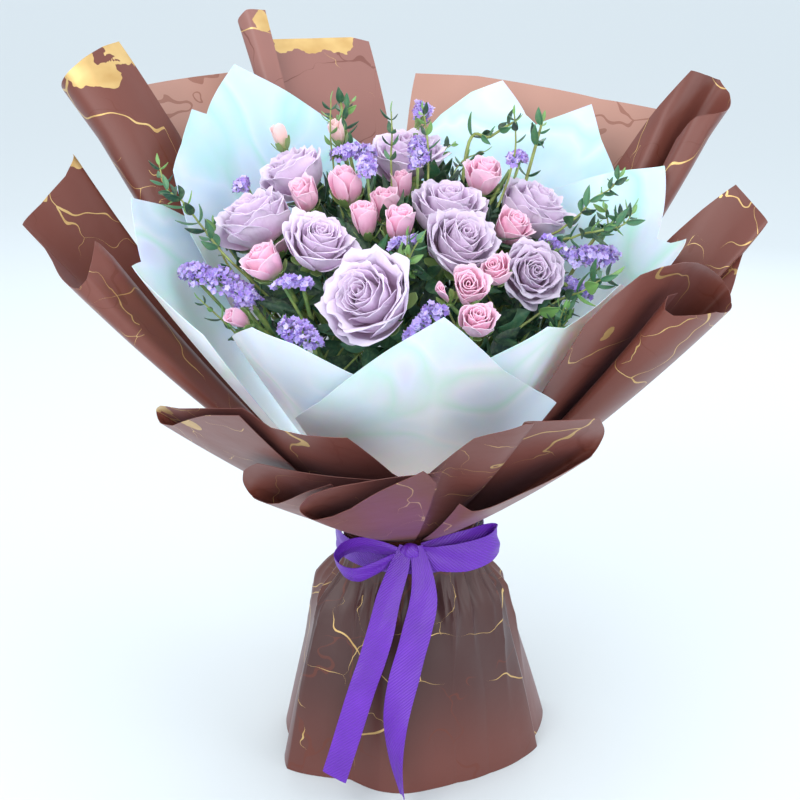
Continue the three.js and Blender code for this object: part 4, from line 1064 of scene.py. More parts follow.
def leafy_run(shape, path, pairs, seed, size, clip=True):
    """Small paired leaves along a twig, larger at its foot, with one at its tip."""
    draw = random.Random(seed)
    for k in range(pairs):
        part = (k + 0.35) / pairs
        spot = part * (len(path) - 1)
        low = int(spot)
        root = lerp(path[low], path[min(low + 1, len(path) - 1)], spot - low)
        run = unit(path[min(low + 1, len(path) - 1)] - path[max(low - 1, 0)])
        level = unit(np.cross([0, 0, 1], run))
        turn = (math.pi / 2 if k % 2 else 0) + draw.uniform(-0.3, 0.3)
        across = level * math.cos(turn) + np.cross(run, level) * math.sin(turn)
        for hand in (1, -1):
            if draw.random() < 0.06:
                continue
            along = unit(run * draw.uniform(0.5, 0.85) + across * hand)
            side = unit(np.cross(along, run))
            length = size * draw.uniform(0.62, 1.2) * (1.1 - 0.4 * part)
            end = clear_of(root + along * length, 0.6)
            if clip:
                end = within(end, 0.6)
            if buried(root, end):
                continue
            along = unit(end - root)
            side = unit(side - along * side.dot(along))
            tone = LEAF_TONES[draw.randrange(len(LEAF_TONES))]
            leaf(shape, root, along, side, length, length * draw.uniform(0.34, 0.5), tone,
                 bend=draw.uniform(0.0, 0.5))
    tip = path[-1]
    run = unit(path[-1] - path[-2])
    side = unit(np.cross(run, [0.2, 0.1, 1]))
    leaf(shape, tip - run, run, side, size * 0.6, size * 0.2, LEAF_TONES[4])


for index, (name, start, end, pairs, swing) in enumerate(SPRIGS):
    twig = Shape()
    fork = place_of(start)
    tip = place_of(end)
    foot, tie = spiral_foot(fork, SPRIG_RING, FOOT_RING, swing)
    knots = [foot, tie, lerp(tie, fork, 0.5), fork, lerp(fork, tip, 0.5), tip]
    knots = [within(clear_of(point, 2)) if k > 2 else point for k, point in enumerate(knots)]
    path = np.concatenate([[knots[0]], curve_through(knots[1:], 8)])
    radii = np.interp(np.arange(len(path)), [0, 1, 16, 32, len(path) - 1], [1.7, 1.7, 1.3, 0.9, 0.5])
    twig.tube(path, radii, 7, GREEN_SLOT, TWIG)
    top = path[-19:]
    leafy_run(twig, top, pairs + 3, 900 + index, 15)
    draw = random.Random(70 + index)
    for k in range(0 if name in BARE_SPRIGS else SIDE_BRANCHES):
        origin = top[3 + 5 * k]
        run = unit(top[-1] - top[0])
        level = unit(np.cross([0, 0, 1], run))
        turn = draw.uniform(0, 6.28)
        aside = level * math.cos(turn) + np.cross(run, level) * math.sin(turn)
        way = unit(run * 0.8 + aside * 0.7)
        finish = within(clear_of(origin + way * draw.uniform(14, 22), 1.5), 1.0)
        branch = curve_through([origin, lerp(origin, finish, 0.5) + [0, 0, 1.5], finish], 4)
        twig.tube(branch, np.linspace(0.7, 0.4, len(branch)), 6, GREEN_SLOT, TWIG)
        leafy_run(twig, branch, 3, 40 * index + k, 12)
    dress(twig.build(f"{name}_leaves", [LEAF, STEM]), "foliage", name)


# ----------------------------------------------------------------------- stems

STEM_RADIUS = 3.3
THIN_STEM_RADIUS = 1.8
STEM_GREENS = [rgb(92, 124, 66), rgb(108, 138, 76), rgb(84, 112, 58)]
# The stems stand in rings of six, twelve and so on, this far apart at the tie and at
# their feet, and each foot is turned on from its place at the tie.
STEM_SPACING = 4.4
FOOT_SPACING = 11.0
TIE_TURN = 260
FOOT_TURN = 330
# How far below its head a stem, or a thin branch, turns the way that the flower faces.
NECK_BEND = 24
BRANCH_BEND = 14
# The flowers on one stem, with the one that it runs to first.
STEM_GROUPS = [[name] for name, *_ in MAUVE_ROSES] + [
    ["pink_spray_1", "pink_bud_3", "pink_spray_2", "pink_bud_2"],
    ["pink_spray_4", "pink_spray_3", "pink_bud_1"],
    ["pink_spray_7", "pink_spray_8", "pink_spray_6"],
    ["pink_spray_5"],
    ["statice_1", "statice_3", "statice_2"],
    ["statice_5", "statice_4", "statice_6"],
    ["statice_7", "statice_8"],
]


def stalk_end(name):
    """Where a flower's stalk ends, the way it faces, and the width of its calyx."""
    for rose, at, faces, radius, _ in MAUVE_ROSES:
        if rose == name:
            return place_of(at) - direction(*faces) * radius * 0.8, faces, 3.4
    for spray, heads in PINK_ROSES:
        if spray == name and len(heads) == 1:
            at, faces, radius, _ = heads[0]
            return place_of(at) - direction(*faces) * radius * 0.85, faces, 1.6
        if spray == name:
            return fork_of(heads), None, 0
    for tuft, lines, radius in STATICE:
        if tuft == name:
            top = place_of(lines[0][-1])
            return top - unit(top - TIE_MIDDLE) * radius * 0.6, None, 0


bunch = Shape()
stem_points = []
tops = []
for first, *others in STEM_GROUPS:
    tops.append((*stalk_end(first), others))
tops.sort(key=lambda top: math.hypot(top[0][0], top[0][1]))
placed = 0
ring = 0
while placed < len(tops):
    room = 6 * ring if ring else 1
    group = sorted(tops[placed:placed + room], key=lambda top: math.atan2(top[0][0], -top[0][1]))
    placed += room
    for k, (end, faces, wide, others) in enumerate(group):
        share = 360 * k / len(group)
        tie = polar(share - TIE_TURN, STEM_SPACING * ring, float(TIE_HEIGHT))
        foot = polar(share - FOOT_TURN, FOOT_SPACING * ring, 0.0)
        fork = lerp(tie, end, 0.5)
        tone = STEM_GREENS[(ring + k) % 3]
        knots = [tie, fork, end]
        if faces is not None:
            knots.insert(2, end - direction(*faces) * NECK_BEND)
        run = np.concatenate([[foot], curve_through(knots, 8)])
        widths = [STEM_RADIUS, STEM_RADIUS, wide or THIN_STEM_RADIUS]
        radii = np.interp(np.linspace(0, 1, len(run)), [0, 0.3, 1], widths)
        bunch.tube(run, radii, 10, 0, tone)
        stem_points += list(run[1:])
        for name in others:
            branch_end, branch_faces, branch_wide = stalk_end(name)
            middle = lerp(fork, branch_end, 0.6)
            if branch_faces is not None:
                middle = branch_end - direction(*branch_faces) * BRANCH_BEND
            branch = curve_through([fork, middle, branch_end], 7)
            radii = np.linspace(THIN_STEM_RADIUS, branch_wide or 1.4, len(branch))
            bunch.tube(branch, radii, 8, 0, tone)
            stem_points += list(branch)
dress(bunch.build("stem_bunch", [STEM]), "stem", "stems")

STRING_TURNS = 4
STRING_PITCH = 2.4
STRING_HEIGHT = 171.5
STRING_RING = 21.9
STRING_RADIUS = 1.1
binding = Shape()
for k in range(STRING_TURNS):
    turns = np.linspace(0, 2 * math.pi, 49)
    circle = [STRING_RING * np.cos(turns), STRING_RING * np.sin(turns)]
    binding.tube(np.stack([*circle, STRING_HEIGHT + STRING_PITCH * k + 0 * turns], -1), STRING_RADIUS)
dress(binding.build("string_turns", [STRING]), "string", "binding")


# ----------------------------------------------------------------------- films

# Each film's rim from its one side to its other, by points of bearing, lean and reach
# from the waist. A brown film's last points come round its rolled lip.
PEARL_FILMS = {
    "pearl_back_left": [(-92, 29, 240), (-100, 28.6, 283), (-109, 28.2, 298), (-118, 28, 320),
                        (-122.6, 28, 315), (-136, 28, 350), (-149, 28, 325), (-160, 28, 300),
                        (-172, 27.6, 268)],
    "pearl_left": [(-108, 31, 246), (-100, 32, 266), (-91, 33.4, 281), (-84, 34.4, 262), (-78, 35.4, 247),
                   (-70, 36.4, 254), (-60, 36.4, 236), (-50, 36.4, 214)],
    "pearl_front_left": [(-64, 30.5, 165), (-54, 32, 194), (-45, 33, 207), (-36, 34, 221), (-26, 34, 212),
                         (-15, 34, 192), (-4, 34, 176), (6, 34, 158)],
    "pearl_front": [(-34, 37, 150), (-22, 37, 176), (-13, 37, 202), (-4, 37, 230), (5, 37, 256),
                    (12, 37, 230), (19, 37, 206), (30, 37, 182), (42, 37, 160)],
    "pearl_front_right": [(8, 33.6, 185), (19, 34, 207), (29, 34, 225), (36, 33, 216), (46, 31.8, 222),
                          (58, 31.2, 230), (70, 31, 218), (80, 30.8, 196)],
    "pearl_right": [(140, 26.6, 246), (129, 27.4, 257), (118, 29.2, 275), (107, 32.2, 293),
                    (102.6, 33.4, 270), (98, 34, 246), (92, 34.8, 249), (86, 35.2, 258),
                    (78, 34.6, 250), (68, 33.8, 232), (58, 33.4, 210)],
    "pearl_back_right": [(116, 31.8, 255), (120, 31.2, 275), (128, 30.4, 300), (133.4, 30, 324),
                         (139, 29.6, 315), (146.6, 29.4, 304), (150, 29.4, 311), (157.6, 29.6, 338),
                         (165, 29.8, 328), (172, 29.8, 310), (180, 29.8, 282), (188, 29.6, 256)],
}
BROWN_FILMS = {
    "brown_back_left": [(-151, 38, 285), (-146.4, 38, 377), (-137, 38, 374), (-128, 38.4, 372),
                        (-117, 39, 374), (-110, 38.4, 376), (-107.4, 36.4, 379), (-109, 34.2, 383),
                        (-112.6, 32.8, 386), (-116.4, 32.2, 387), (-118.2, 32, 330), (-120, 32, 304),
                        (-118, 32, 272)],
    "brown_left": [(-106, 42.2, 238), (-108.4, 41.8, 270), (-108.1, 41.6, 308), (-107.9, 41.4, 334),
                   (-104.7, 42.6, 323), (-98, 44.8, 315), (-90.5, 46, 310), (-90, 45.8, 293),
                   (-86.5, 45.4, 281), (-79, 44.8, 267), (-74.5, 43.6, 261), (-74, 42, 262),
                   (-77, 40.2, 267), (-80, 38.7, 274), (-85, 38.8, 257)],
    "brown_top_left": [(-179, 34.2, 226), (-175.6, 34.2, 310), (-172.4, 34.2, 387), (-169, 34.2, 391),
                       (-161, 34.2, 390), (-153.6, 34.2, 390), (-149.6, 34, 398), (-146.6, 32.8, 402),
                       (-147.6, 31.5, 406), (-151.4, 31.4, 405)],
    "brown_top_right": [(187, 36, 215), (181, 36, 297), (178.6, 36, 364), (166.4, 36, 362), (154, 36.2, 355),
                        (141, 37, 349), (128, 38.4, 349), (121, 39, 322), (116, 39.4, 262)],
    "brown_upper_right": [(129, 33, 236), (125.4, 33, 282), (117, 33.2, 367), (116.4, 34.8, 370),
                          (117, 37, 375), (114.4, 37.8, 368), (110, 37, 353), (107.6, 35.4, 344),
                          (109, 33.8, 334), (112, 33.9, 316)],
    "brown_right": [(105, 36.6, 215), (102.6, 36.8, 246), (100, 37.8, 280), (98, 39, 306),
                    (94.5, 41, 302), (90.5, 43, 298), (91, 43.4, 272), (89, 43.8, 262),
                    (86.5, 44.2, 254), (82, 44.6, 242)],
    "brown_roll_right": [(38, 34.8, 225), (41, 35, 245), (45, 35.3, 262), (50, 35.6, 266),
                         (56, 36.2, 268), (63, 37, 265), (70, 38.6, 260), (74, 40.6, 257),
                         (75, 42.2, 254), (71, 43.4, 252), (64, 43.6, 254), (57, 42.8, 258),
                         (53, 41.4, 252), (51.6, 40, 246), (51, 38.8, 246), (52, 37.9, 251),
                         (57, 37.8, 250)],
    "brown_front_right": [(3, 48.2, 158), (9.5, 48.2, 212), (16, 48.8, 232), (17.8, 48.4, 228),
                          (17.4, 47.2, 218), (22, 46.8, 213), (27, 47, 211), (33, 47.4, 208),
                          (37.8, 48.6, 186), (37.5, 50, 172), (34, 50.8, 169), (29, 51.8, 162),
                          (23, 52.8, 150), (17, 54, 138), (13, 54.4, 138), (9.5, 53.4, 150)],
    "brown_front_left": [(4, 44, 100), (-5, 44, 130), (-13, 44, 178), (-22, 44, 176), (-30, 44, 178),
                         (-33, 44.2, 199), (-43, 45.2, 192), (-53, 46.6, 186), (-61, 48, 184),
                         (-65.4, 49.6, 177), (-64, 50.6, 173), (-57.5, 49.6, 174), (-50, 47.9, 183),
                         (-41, 46.6, 195), (-32, 45.8, 202)],
    "brown_front_fold": [(-4, 47, 112), (-8, 47, 139), (-20, 47.4, 141), (-30, 47.8, 143),
                         (-38, 48.4, 146), (-43.5, 50.4, 138), (-47, 53, 123), (-47, 54.8, 112),
                         (-42, 55.2, 109), (-36, 54.2, 115), (-30, 53, 127), (-24, 51.6, 140),
                         (-17, 50.2, 152)],
    "brown_front_flap": [(5, 50.4, 150), (5, 50.4, 187), (-3, 50.4, 176), (-10, 51, 168), (-16, 52, 162),
                         (-21, 53.6, 154), (-24, 55.8, 140), (-22, 57, 132), (-17, 56, 138),
                         (-12, 54.8, 152), (-5.4, 53.4, 182), (1.5, 52.4, 210), (4, 52.2, 184)],
}
# Films whose tan side faces the flowers; the printed side of the others does.
TAN_INSIDE = ("brown_back_left", "brown_top_right")
# Patches of gold leaf on the print, each as bearing, lean, reach and size.
GOLD_PATCHES = {
    "brown_back_left": [(-116, 32.3, 387, 44), (-108.4, 34.7, 380, 30), (-111, 33.5, 366, 22)],
    "brown_top_left": [(-156, 34.2, 388, 28), (-161, 34.2, 390, 32), (-166, 34.2, 388, 28),
                       (-150, 31.6, 396, 18)],
    "brown_left": [(-107.9, 41.4, 330, 20)],
    "brown_roll_right": [(47.4, 35.4, 214, 13)],
    "brown_front_left": [(-61, 48, 180, 18), (-50, 47.9, 180, 16)],
}
# The painted shade on each pearl film, the pearl films' painted light and glow at the neck and
# the rim, the brown films' slight darkening there, and the painted light on the top left film.
PEARL_PAINTED_SHADES = (0.35, 0.15, 0.3, 0.3, 0.3, 0.05, 0.15)
PEARL_PAINTED_LIGHT_AND_GLOW = (1, 0)
BROWN_SHADES = (0.08, 0.08)
TOP_LEFT_PAINTED_LIGHT = 0.3
FILM_THICKNESS = 0.3
PEARL_FOLDS = (9, 0.28)
BROWN_FOLDS = (7, 0.25)
# Rows of points below the waist and from there to the rim, and points from knot to knot.
NECK_ROWS = 4
FAN_ROWS = 44
SPAN_STEPS = 8
# The row, counted from the rim, along which a film's width is measured.
WIDTH_ROW = -12


def centripetal(knots, steps):
    """The rim's curve through bearing and lean, as a centripetal spline does it."""
    knots = np.asarray(knots, float)
    padded = np.concatenate([[2 * knots[0] - knots[1]], knots, [2 * knots[-1] - knots[-2]]])
    result = []
    for k in range(len(knots) - 1):
        a, b, c, d = padded[k:k + 4]
        spans = ((a, b), (b, c), (c, d))
        before, between, after = (max(np.sum((q - p) ** 2) ** 0.25, 1e-4) for p, q in spans)
        one = ((b - a) / before - (c - a) / (before + between) + (c - b) / between) * between
        two = ((c - b) / between - (d - b) / (between + after) + (d - c) / after) * between
        for t in np.linspace(0, 1, steps, endpoint=False):
            result.append(b + one * t + (-3 * b + 3 * c - 2 * one - two) * t * t
                          + (2 * b - 2 * c + one + two) * t ** 3)
    result.append(knots[-1])
    return np.array(result)


def rib_point(bearing, lean, reach):
    """The point of a film's rib at a bearing and lean, so far from the waist."""
    waist = WAIST_RADIUS + (lean - WAIST_LEAN) * WAIST_PER_DEGREE
    bowed = lean + BOW * np.maximum(0, 1 - reach / BOW_REACH)
    return polar(bearing, waist, float(TIE_HEIGHT)) + reach[..., None] * direction(bearing, bowed)


def rib_place(bearing, lean, reach):
    """The same for a single point."""
    return rib_point(float(bearing), float(lean), np.array(float(reach)))


def film_grid(rim, seed, folds, depth):
    """A film as a grid of points, with soft folds that run down to the waist."""
    draw = np.random.default_rng(seed)
    line = centripetal([(bearing, lean) for bearing, lean, _ in rim], SPAN_STEPS)
    ends = [reach for *_, reach in rim]
    reach_of = np.interp(np.linspace(0, len(rim) - 1, len(line)), np.arange(len(rim)), ends)
    part = np.linspace(0, 1, FAN_ROWS + 1)[None, :]
    bearing = line[:, 0][:, None]
    lean = line[:, 1][:, None]
    reach = reach_of[:, None] * part
    ripple = 0
    for k in range(4):
        rate = folds * draw.uniform(0.5, 1.6)
        ripple = ripple + draw.uniform(0.4, 1.0) * np.sin(
            np.radians(bearing) * rate + draw.uniform(0, 6.28) + 1.2 * part)
    lean = lean + depth * ripple / 2.5 * smooth(0.0, 0.35, part) * (1 - 0.35 * part)
    fan = rib_point(bearing + 0 * part, lean, reach)
    neck = [fan[:, 0] - np.array([0, 0, NECK_LENGTH * (1 - k / NECK_ROWS)]) for k in range(NECK_ROWS)]
    grid = np.concatenate([np.stack(neck, axis=1), fan], axis=1)
    steps = np.linalg.norm(np.diff(grid, axis=0), axis=-1)[:, WIDTH_ROW]
    return grid, flat_uvs(grid, steps, 3.1 * seed)


def flat_uvs(grid, steps, shift):
    """UVs in metres over a film laid flat: across by the steps, and up along each rib."""
    far = np.concatenate([[0], np.cumsum(steps)])
    rise = np.linalg.norm(np.diff(grid, axis=1), axis=-1)
    high = np.concatenate([np.zeros((len(grid), 1)), np.cumsum(rise, axis=1)], axis=1)
    return np.stack(np.broadcast_arrays(far[:, None] * MM + shift, high * MM), -1)


def sheet_area(grid):
    """The area of a grid of points, in square metres."""
    across = grid[1:, :-1] - grid[:-1, :-1]
    along = grid[:-1, 1:] - grid[:-1, :-1]
    return float(np.linalg.norm(np.cross(across, along), axis=-1).sum()) * MM * MM


def cut_size(grid, uvs):
    """The flat size of the rectangle that a film is cut from, and its area."""
    area = sheet_area(grid)
    length = float(uvs[..., 1].max())
    width = float(uvs[..., 0].max() - uvs[..., 0].min())
    while width * length < area:
        width *= 1.02
    return (round(width + 0.0005, 3), round(length + 0.0005, 3)), area


def finish_film(name, grid, uvs, colours, materials, slots, record_slot):
    shape = Shape()
    shape.sheet(grid, FILM_THICKNESS, slots=slots, colours=colours, uvs=uvs)
    piece = shape.build(f"{name}_sheet", materials)
    dress(piece, record_slot, name)
    flat, area = cut_size(grid, uvs)


def build_film(name, rim, seed, folds, shades, materials, slots, record_slot, gold=()):
    """A film with its gold patches and its tint: at the neck and rim, painted light and glow on a pearl film
    and a slight darkening on a brown one; all over, painted shade on a pearl film and painted light on the
    top left brown one.
    """
    grid, uvs = film_grid(rim, seed, *folds)
    if rim[-1][0] < rim[0][0]:
        grid = grid[::-1]
        uvs = uvs[::-1]
    mask = np.zeros(grid.shape[:2])
    for *spot, size in gold:
        mask = np.maximum(mask, 1 - np.linalg.norm(grid - rib_place(*spot), axis=-1) / size)
    part = np.clip((np.arange(grid.shape[1]) - NECK_ROWS) / FAN_ROWS, 0, 1) + 0 * mask
    neck, far, painted_light_and_shade = shades
    shade = lerp(neck, far, smooth(0.25, 0.85, part))
    colours = np.stack([np.clip(mask, 0, 1), shade, painted_light_and_shade + 0 * mask], -1)
    finish_film(name, grid, uvs, colours, materials, slots, record_slot)


for index, (name, rim) in enumerate(PEARL_FILMS.items()):
    shades = (*PEARL_PAINTED_LIGHT_AND_GLOW, PEARL_PAINTED_SHADES[index])
    build_film(name, rim, index + 1, PEARL_FOLDS, shades, [PEARL], (0, 0), "pearl_film")
for index, (name, rim) in enumerate(BROWN_FILMS.items()):
    inner = 1 if name in TAN_INSIDE else 0
    gold = GOLD_PATCHES.get(name, ())
    # The film at the top left is made paler by painted light.
    shades = (*BROWN_SHADES, TOP_LEFT_PAINTED_LIGHT if name == "brown_top_left" else 0)
    build_film(name, rim, index + 20, BROWN_FOLDS, shades, [OUTSIDE, INSIDE], (0, inner), "brown_film", gold)


# Twigs that reach out past the flowers, each by points of (bearing, lean, reach) from
# the waist, the size of its leaves and how many pairs it has.
TWIGS = [
    ([(-80, 12, 120), (-82, 22, 190), (-82, 25, 222), (-86, 26.4, 244), (-86, 27.3, 265), (-90, 28.8, 275),
      (-94, 28.8, 291)], 15, 11),
    ([(-76, 16, 120), (-84, 24.6, 200), (-92, 26.0, 224), (-100, 26.4, 240)], 12, 4),
    ([(-70, 18, 100), (-70, 28.0, 160), (-71, 30.2, 190), (-74, 31.4, 208)], 11, 6),
    ([(-62, 14, 100), (-60, 25, 150), (-66, 28.6, 176), (-62, 30, 190)], 14, 5),
    ([(-137, 7, 150), (-137, 12.6, 225), (-137, 13, 262), (-137, 12.8, 280), (-138, 12.5, 297)], 14, 6),
    ([(-152, 0, 150), (-152, 2.2, 225), (-152, 2.8, 255), (-152, 2.6, 271), (-152, 2.9, 287)], 13, 5),
    ([(110, 4, 150), (112, 11, 230), (112, 12.2, 262), (111, 11.8, 279), (110, 11.2, 291)], 12, 5),
    ([(150, 6, 150), (156, 10, 225), (158, 17, 255), (150, 18.5, 266)], 13, 5),
    ([(160, 2, 150), (165, 8, 235), (165, 16, 262), (165, 22, 274)], 13, 5),
    ([(150, 2, 150), (152, 2.4, 250), (158, 3, 275), (165, 3.9, 288)], 11, 4),
    ([(90, 6, 120), (92, 16, 205), (88, 19, 227), (86, 20.8, 242), (90, 21.8, 252), (94, 24, 262),
      (97, 25, 272)], 15, 8),
    ([(80, 8, 120), (80, 18, 210), (78, 21, 229), (76, 23.6, 239), (80, 26.4, 248), (84, 27, 256)], 15, 6),
    ([(66, 10, 100), (56, 18.6, 160), (60, 20.6, 176), (66, 23, 192), (66, 25.8, 205), (68, 27, 214),
      (72, 28.2, 220)], 21, 6),
    ([(50, 12, 100), (56, 20.6, 150), (60, 24.4, 172), (66, 26.8, 182)], 14, 4),
]


def branch_root(point, drop):
    """The nearest place on a stem that lies lower than a point by a drop."""
    lower = [spot for spot in stem_points if spot[2] < point[2] - drop]
    return min(lower, key=lambda spot: np.linalg.norm(spot - point))


outer_twigs = Shape()
for index, (knots, size, pairs) in enumerate(TWIGS):
    points = [rib_place(*knot) for knot in knots]
    points = [branch_root(points[0], 10)] + points
    run = curve_through(points, 8)
    outer_twigs.tube(run, np.linspace(1.1, 0.45, len(run)), 6, GREEN_SLOT, TWIG)
    leafy_run(outer_twigs, run[-8 * min(4, len(knots) - 1):], pairs + 2, 1500 + index, size, clip=False)
dress(outer_twigs.build("outer_twigs", [LEAF, STEM]), "foliage")

# Leaves that fill the dome between the flowers, spread evenly over it by the golden angle.
FILLER_COUNT = 230
FILLER_LOWEST = 84
GOLDEN_ANGLE = 137.508
FILLER_REACH = (96, 128)
filler = Shape()
for k in range(FILLER_COUNT):
    draw = random.Random(4000 + k)
    depth = (1 - math.cos(math.radians(FILLER_LOWEST))) * (k + 0.5) / FILLER_COUNT
    bearing = (k * GOLDEN_ANGLE) % 360 - 180
    spot = place_of((bearing, math.degrees(math.acos(1 - depth)), draw.uniform(*FILLER_REACH)))
    spot = within(spot, 3.0)
    if any(np.linalg.norm(spot - centre) < 0.85 * radius for _, centre, radius in BALLS):
        continue
    root = branch_root(spot, 30)
    heading = unit(spot - root)
    outward = unit(spot - DOME)
    run = curve_through([root, lerp(root, spot, 0.55) + heading * 2, spot], 5)
    # Painted shade: the filler sits between the flowers, so its stalks are a darker green than the twigs,
    # and its leaves take mostly the darkest greens and are darkened further.
    filler.tube(run, np.linspace(0.9, 0.5, len(run)), 5, GREEN_SLOT, TWIG * 0.8)
    narrow = draw.random() < 0.35
    for turn in range(draw.randint(4, 6)):
        level = unit(np.cross(outward, [0.3, 0.2, 1.0]))
        angle = turn * 2.1 + draw.uniform(-0.4, 0.4)
        way = level * math.cos(angle) + np.cross(outward, level) * math.sin(angle)
        way = unit(way * draw.uniform(0.7, 1.2) + outward * draw.uniform(0.35, 1.1))
        length = draw.uniform(20, 30) if narrow else draw.uniform(18, 27)
        end = within(clear_of(spot + way * length, 0.4), 1.0)
        if buried(lerp(spot, end, 0.4), end):
            continue
        way = unit(end - spot)
        side = unit(np.cross(way, outward))
        tone = LEAF_TONES[draw.choice((0, 0, 3, 3, 1, 2))] * draw.uniform(0.55, 1.0)
        width = length * (0.28 if narrow else draw.uniform(0.42, 0.56))
        leaf(filler, spot, way, side, length, width, tone, bend=draw.uniform(0.1, 0.5), cells=(5, 8))
dress(filler.build("filler_foliage", [LEAF, STEM]), "foliage")


# ----------------------------------------------------------------------- skirt

# Each skirt film's hem by points of bearing and radius.
SKIRT_FRONT = [(-74, 97), (-64, 100), (-50, 84), (-37, 72), (-17, 75), (-3, 75), (15, 71), (29, 70),
               (50, 77), (70, 90), (81, 98), (88, 96)]
SKIRT_BACK = [(68, 82), (81, 90), (95, 101), (108, 112), (117, 117), (130, 104), (150, 92), (180, 88),
              (210, 91), (235, 98), (246, 101), (254, 100), (266, 94), (278, 88), (290, 84)]
SKIRT_TOP = TIE_HEIGHT - 2
HEM_HEIGHT = 0.2
SKIRT_ROWS = 71
# Gathers as how many go round, how deep they are and how far down they reach.
GATHERS = ((9, 2.3, 0.8), (17, 1.5, 0.5), (31, 0.8, 0.34))
LONG_FOLDS = ((4, 0.9), (7, 0.8))


def build_skirt(name, hem, waist, pleats, seed, shade):
    """A skirt film: tight gathers under the ribbon that open into broad flat panels."""
    draw = np.random.default_rng(seed)
    line = centripetal(hem, 2 * pleats)
    knots_at = np.linspace(0, len(hem) - 1, len(line))
    straight = [np.interp(knots_at, np.arange(len(hem)), column) for column in zip(*hem)]
    line = lerp(line, np.stack(straight, -1), 0.75)
    down = np.linspace(0, 1, SKIRT_ROWS)[None, :]
    bearing = line[:, 0][:, None]
    foot = line[:, 1][:, None]
    spread = np.clip((down - 0.11) / 0.89, 0, 1)
    radius = waist + (foot - waist) * (0.30 * smooth(0, 0.22, spread) + 0.70 * spread)
    angle = np.radians(bearing)
    gather = 0
    for rate, weight, stop_at in GATHERS:
        wander = angle * rate + draw.uniform(0, 6) + 1.6 * np.sin(angle * 2.3 + rate) + 1.3 * down
        crease = 1 - 2 * np.abs(np.sin(wander / 2)) ** 0.7
        gather = gather + weight * crease * (1 - smooth(0.2, stop_at, down))
    gather = gather * (0.28 + 1.5 * smooth(0.09, 0.24, down))
    long_folds = 0
    for rate, weight in LONG_FOLDS:
        long_folds = long_folds + weight * np.sin(angle * rate + draw.uniform(0, 6) + 0.9 * down)
    drape = long_folds * 1.8 * smooth(0.2, 0.55, down) * (1 - 0.85 * smooth(0.6, 1.0, down))
    radius = radius + gather + drape
    height = lerp(float(SKIRT_TOP), HEM_HEIGHT, down) + 0 * bearing
    grid = polar(bearing + 0 * down, radius, height)[:, ::-1]
    uvs = flat_uvs(grid, np.linalg.norm(np.diff(grid, axis=0), axis=-1).mean(axis=1), 5.3 * seed)
    # Painted shade: the skirt is darker up under the ribbon than toward its hem, by the shade given for each
    # skirt.
    skirt_painted_shade = shade * (1 - 0.6 * smooth(0.45, 1.0, down[:, ::-1]) + 0 * bearing)
    colours = skirt_painted_shade[..., None] * np.array([0, 1, 0])
    finish_film(name, grid, uvs, colours, [OUTSIDE, INSIDE], (0, 1), "brown_film")


# The last value is each skirt's painted shade, deeper on the front than on the back.
build_skirt("skirt_front", SKIRT_FRONT, 50.4, 11, 61, 0.85)
build_skirt("skirt_back", SKIRT_BACK, 47.8, 9, 62, 0.5)


# ---------------------------------------------------------------------- ribbon

BAND_RADIUS = 53.2
BAND_HEIGHT = 17
RIBBON_WIDTH = 25
RIBBON_THICKNESS = 0.45
BAND_THICKNESS = 0.5
# Each run of ribbon is its points, its width at them, and the way that its width lies at
# its start, middle and end.
BOW_LEFT = ([(-8, -57, 180), (-20, -55, 183), (-34, -49, 183), (-46, -48, 179), (-51, -54, 174),
             (-46, -62, 169), (-36, -66, 168), (-24, -64, 172), (-10, -58, 178)],
            [9, 12, 14, 15, 15, 16, 16, 13, 8],
            [(0.1, -0.2, 1), (-0.2, -0.6, 0.8), (0.05, -0.35, 1)])
BOW_RIGHT = ([(6, -57, 181), (20, -60, 178), (38, -58, 178), (54, -50, 180), (61, -41, 183), (58, -38, 184),
              (50, -44, 186), (34, -52, 185), (8, -56, 182)],
             [10, 19, 22, 22, 21, 20, 20, 18, 10],
             [(-0.1, 0.1, 1), (-0.2, -0.25, 1), (0.1, 0.25, 1)])
TAIL_LEFT = ([(-3, -58, 186), (-8, -64, 172), (-15, -69.5, 152), (-20, -75, 131), (-26, -79, 110),
              (-33, -83, 90), (-45, -88, 51), (-53, -91, 25)],
             [9, 14, 17, 19, 19, 19, 19, 19],
             [(1, -0.2, 0), (1, -0.3, 0.15), (1, -0.4, 0.3)])
TAIL_RIGHT = ([(4, -58, 186), (8, -64.5, 170), (9, -70, 151), (4.5, -76, 131), (-4, -83, 99), (-10, -88, 69),
               (-10, -92, 40), (-5, -95, 12)],
              [9, 14, 19, 21, 21, 18, 15, 10],
              [(1, 0.1, 0.1), (1, 0.35, 0.4), (0.25, -0.9, 0.1)])
# Each run with how deeply it is creased and the seed of its creases.
RIBBON_RUNS = ((BOW_LEFT, 0.3, 1), (BOW_RIGHT, 0.5, 2), (TAIL_LEFT, 0.15, 3), (TAIL_RIGHT, 0.2, 5))
KNOT_PLACE = (0, -58, 182)
KNOT_SIZE = (6.5, 4.2, 6)


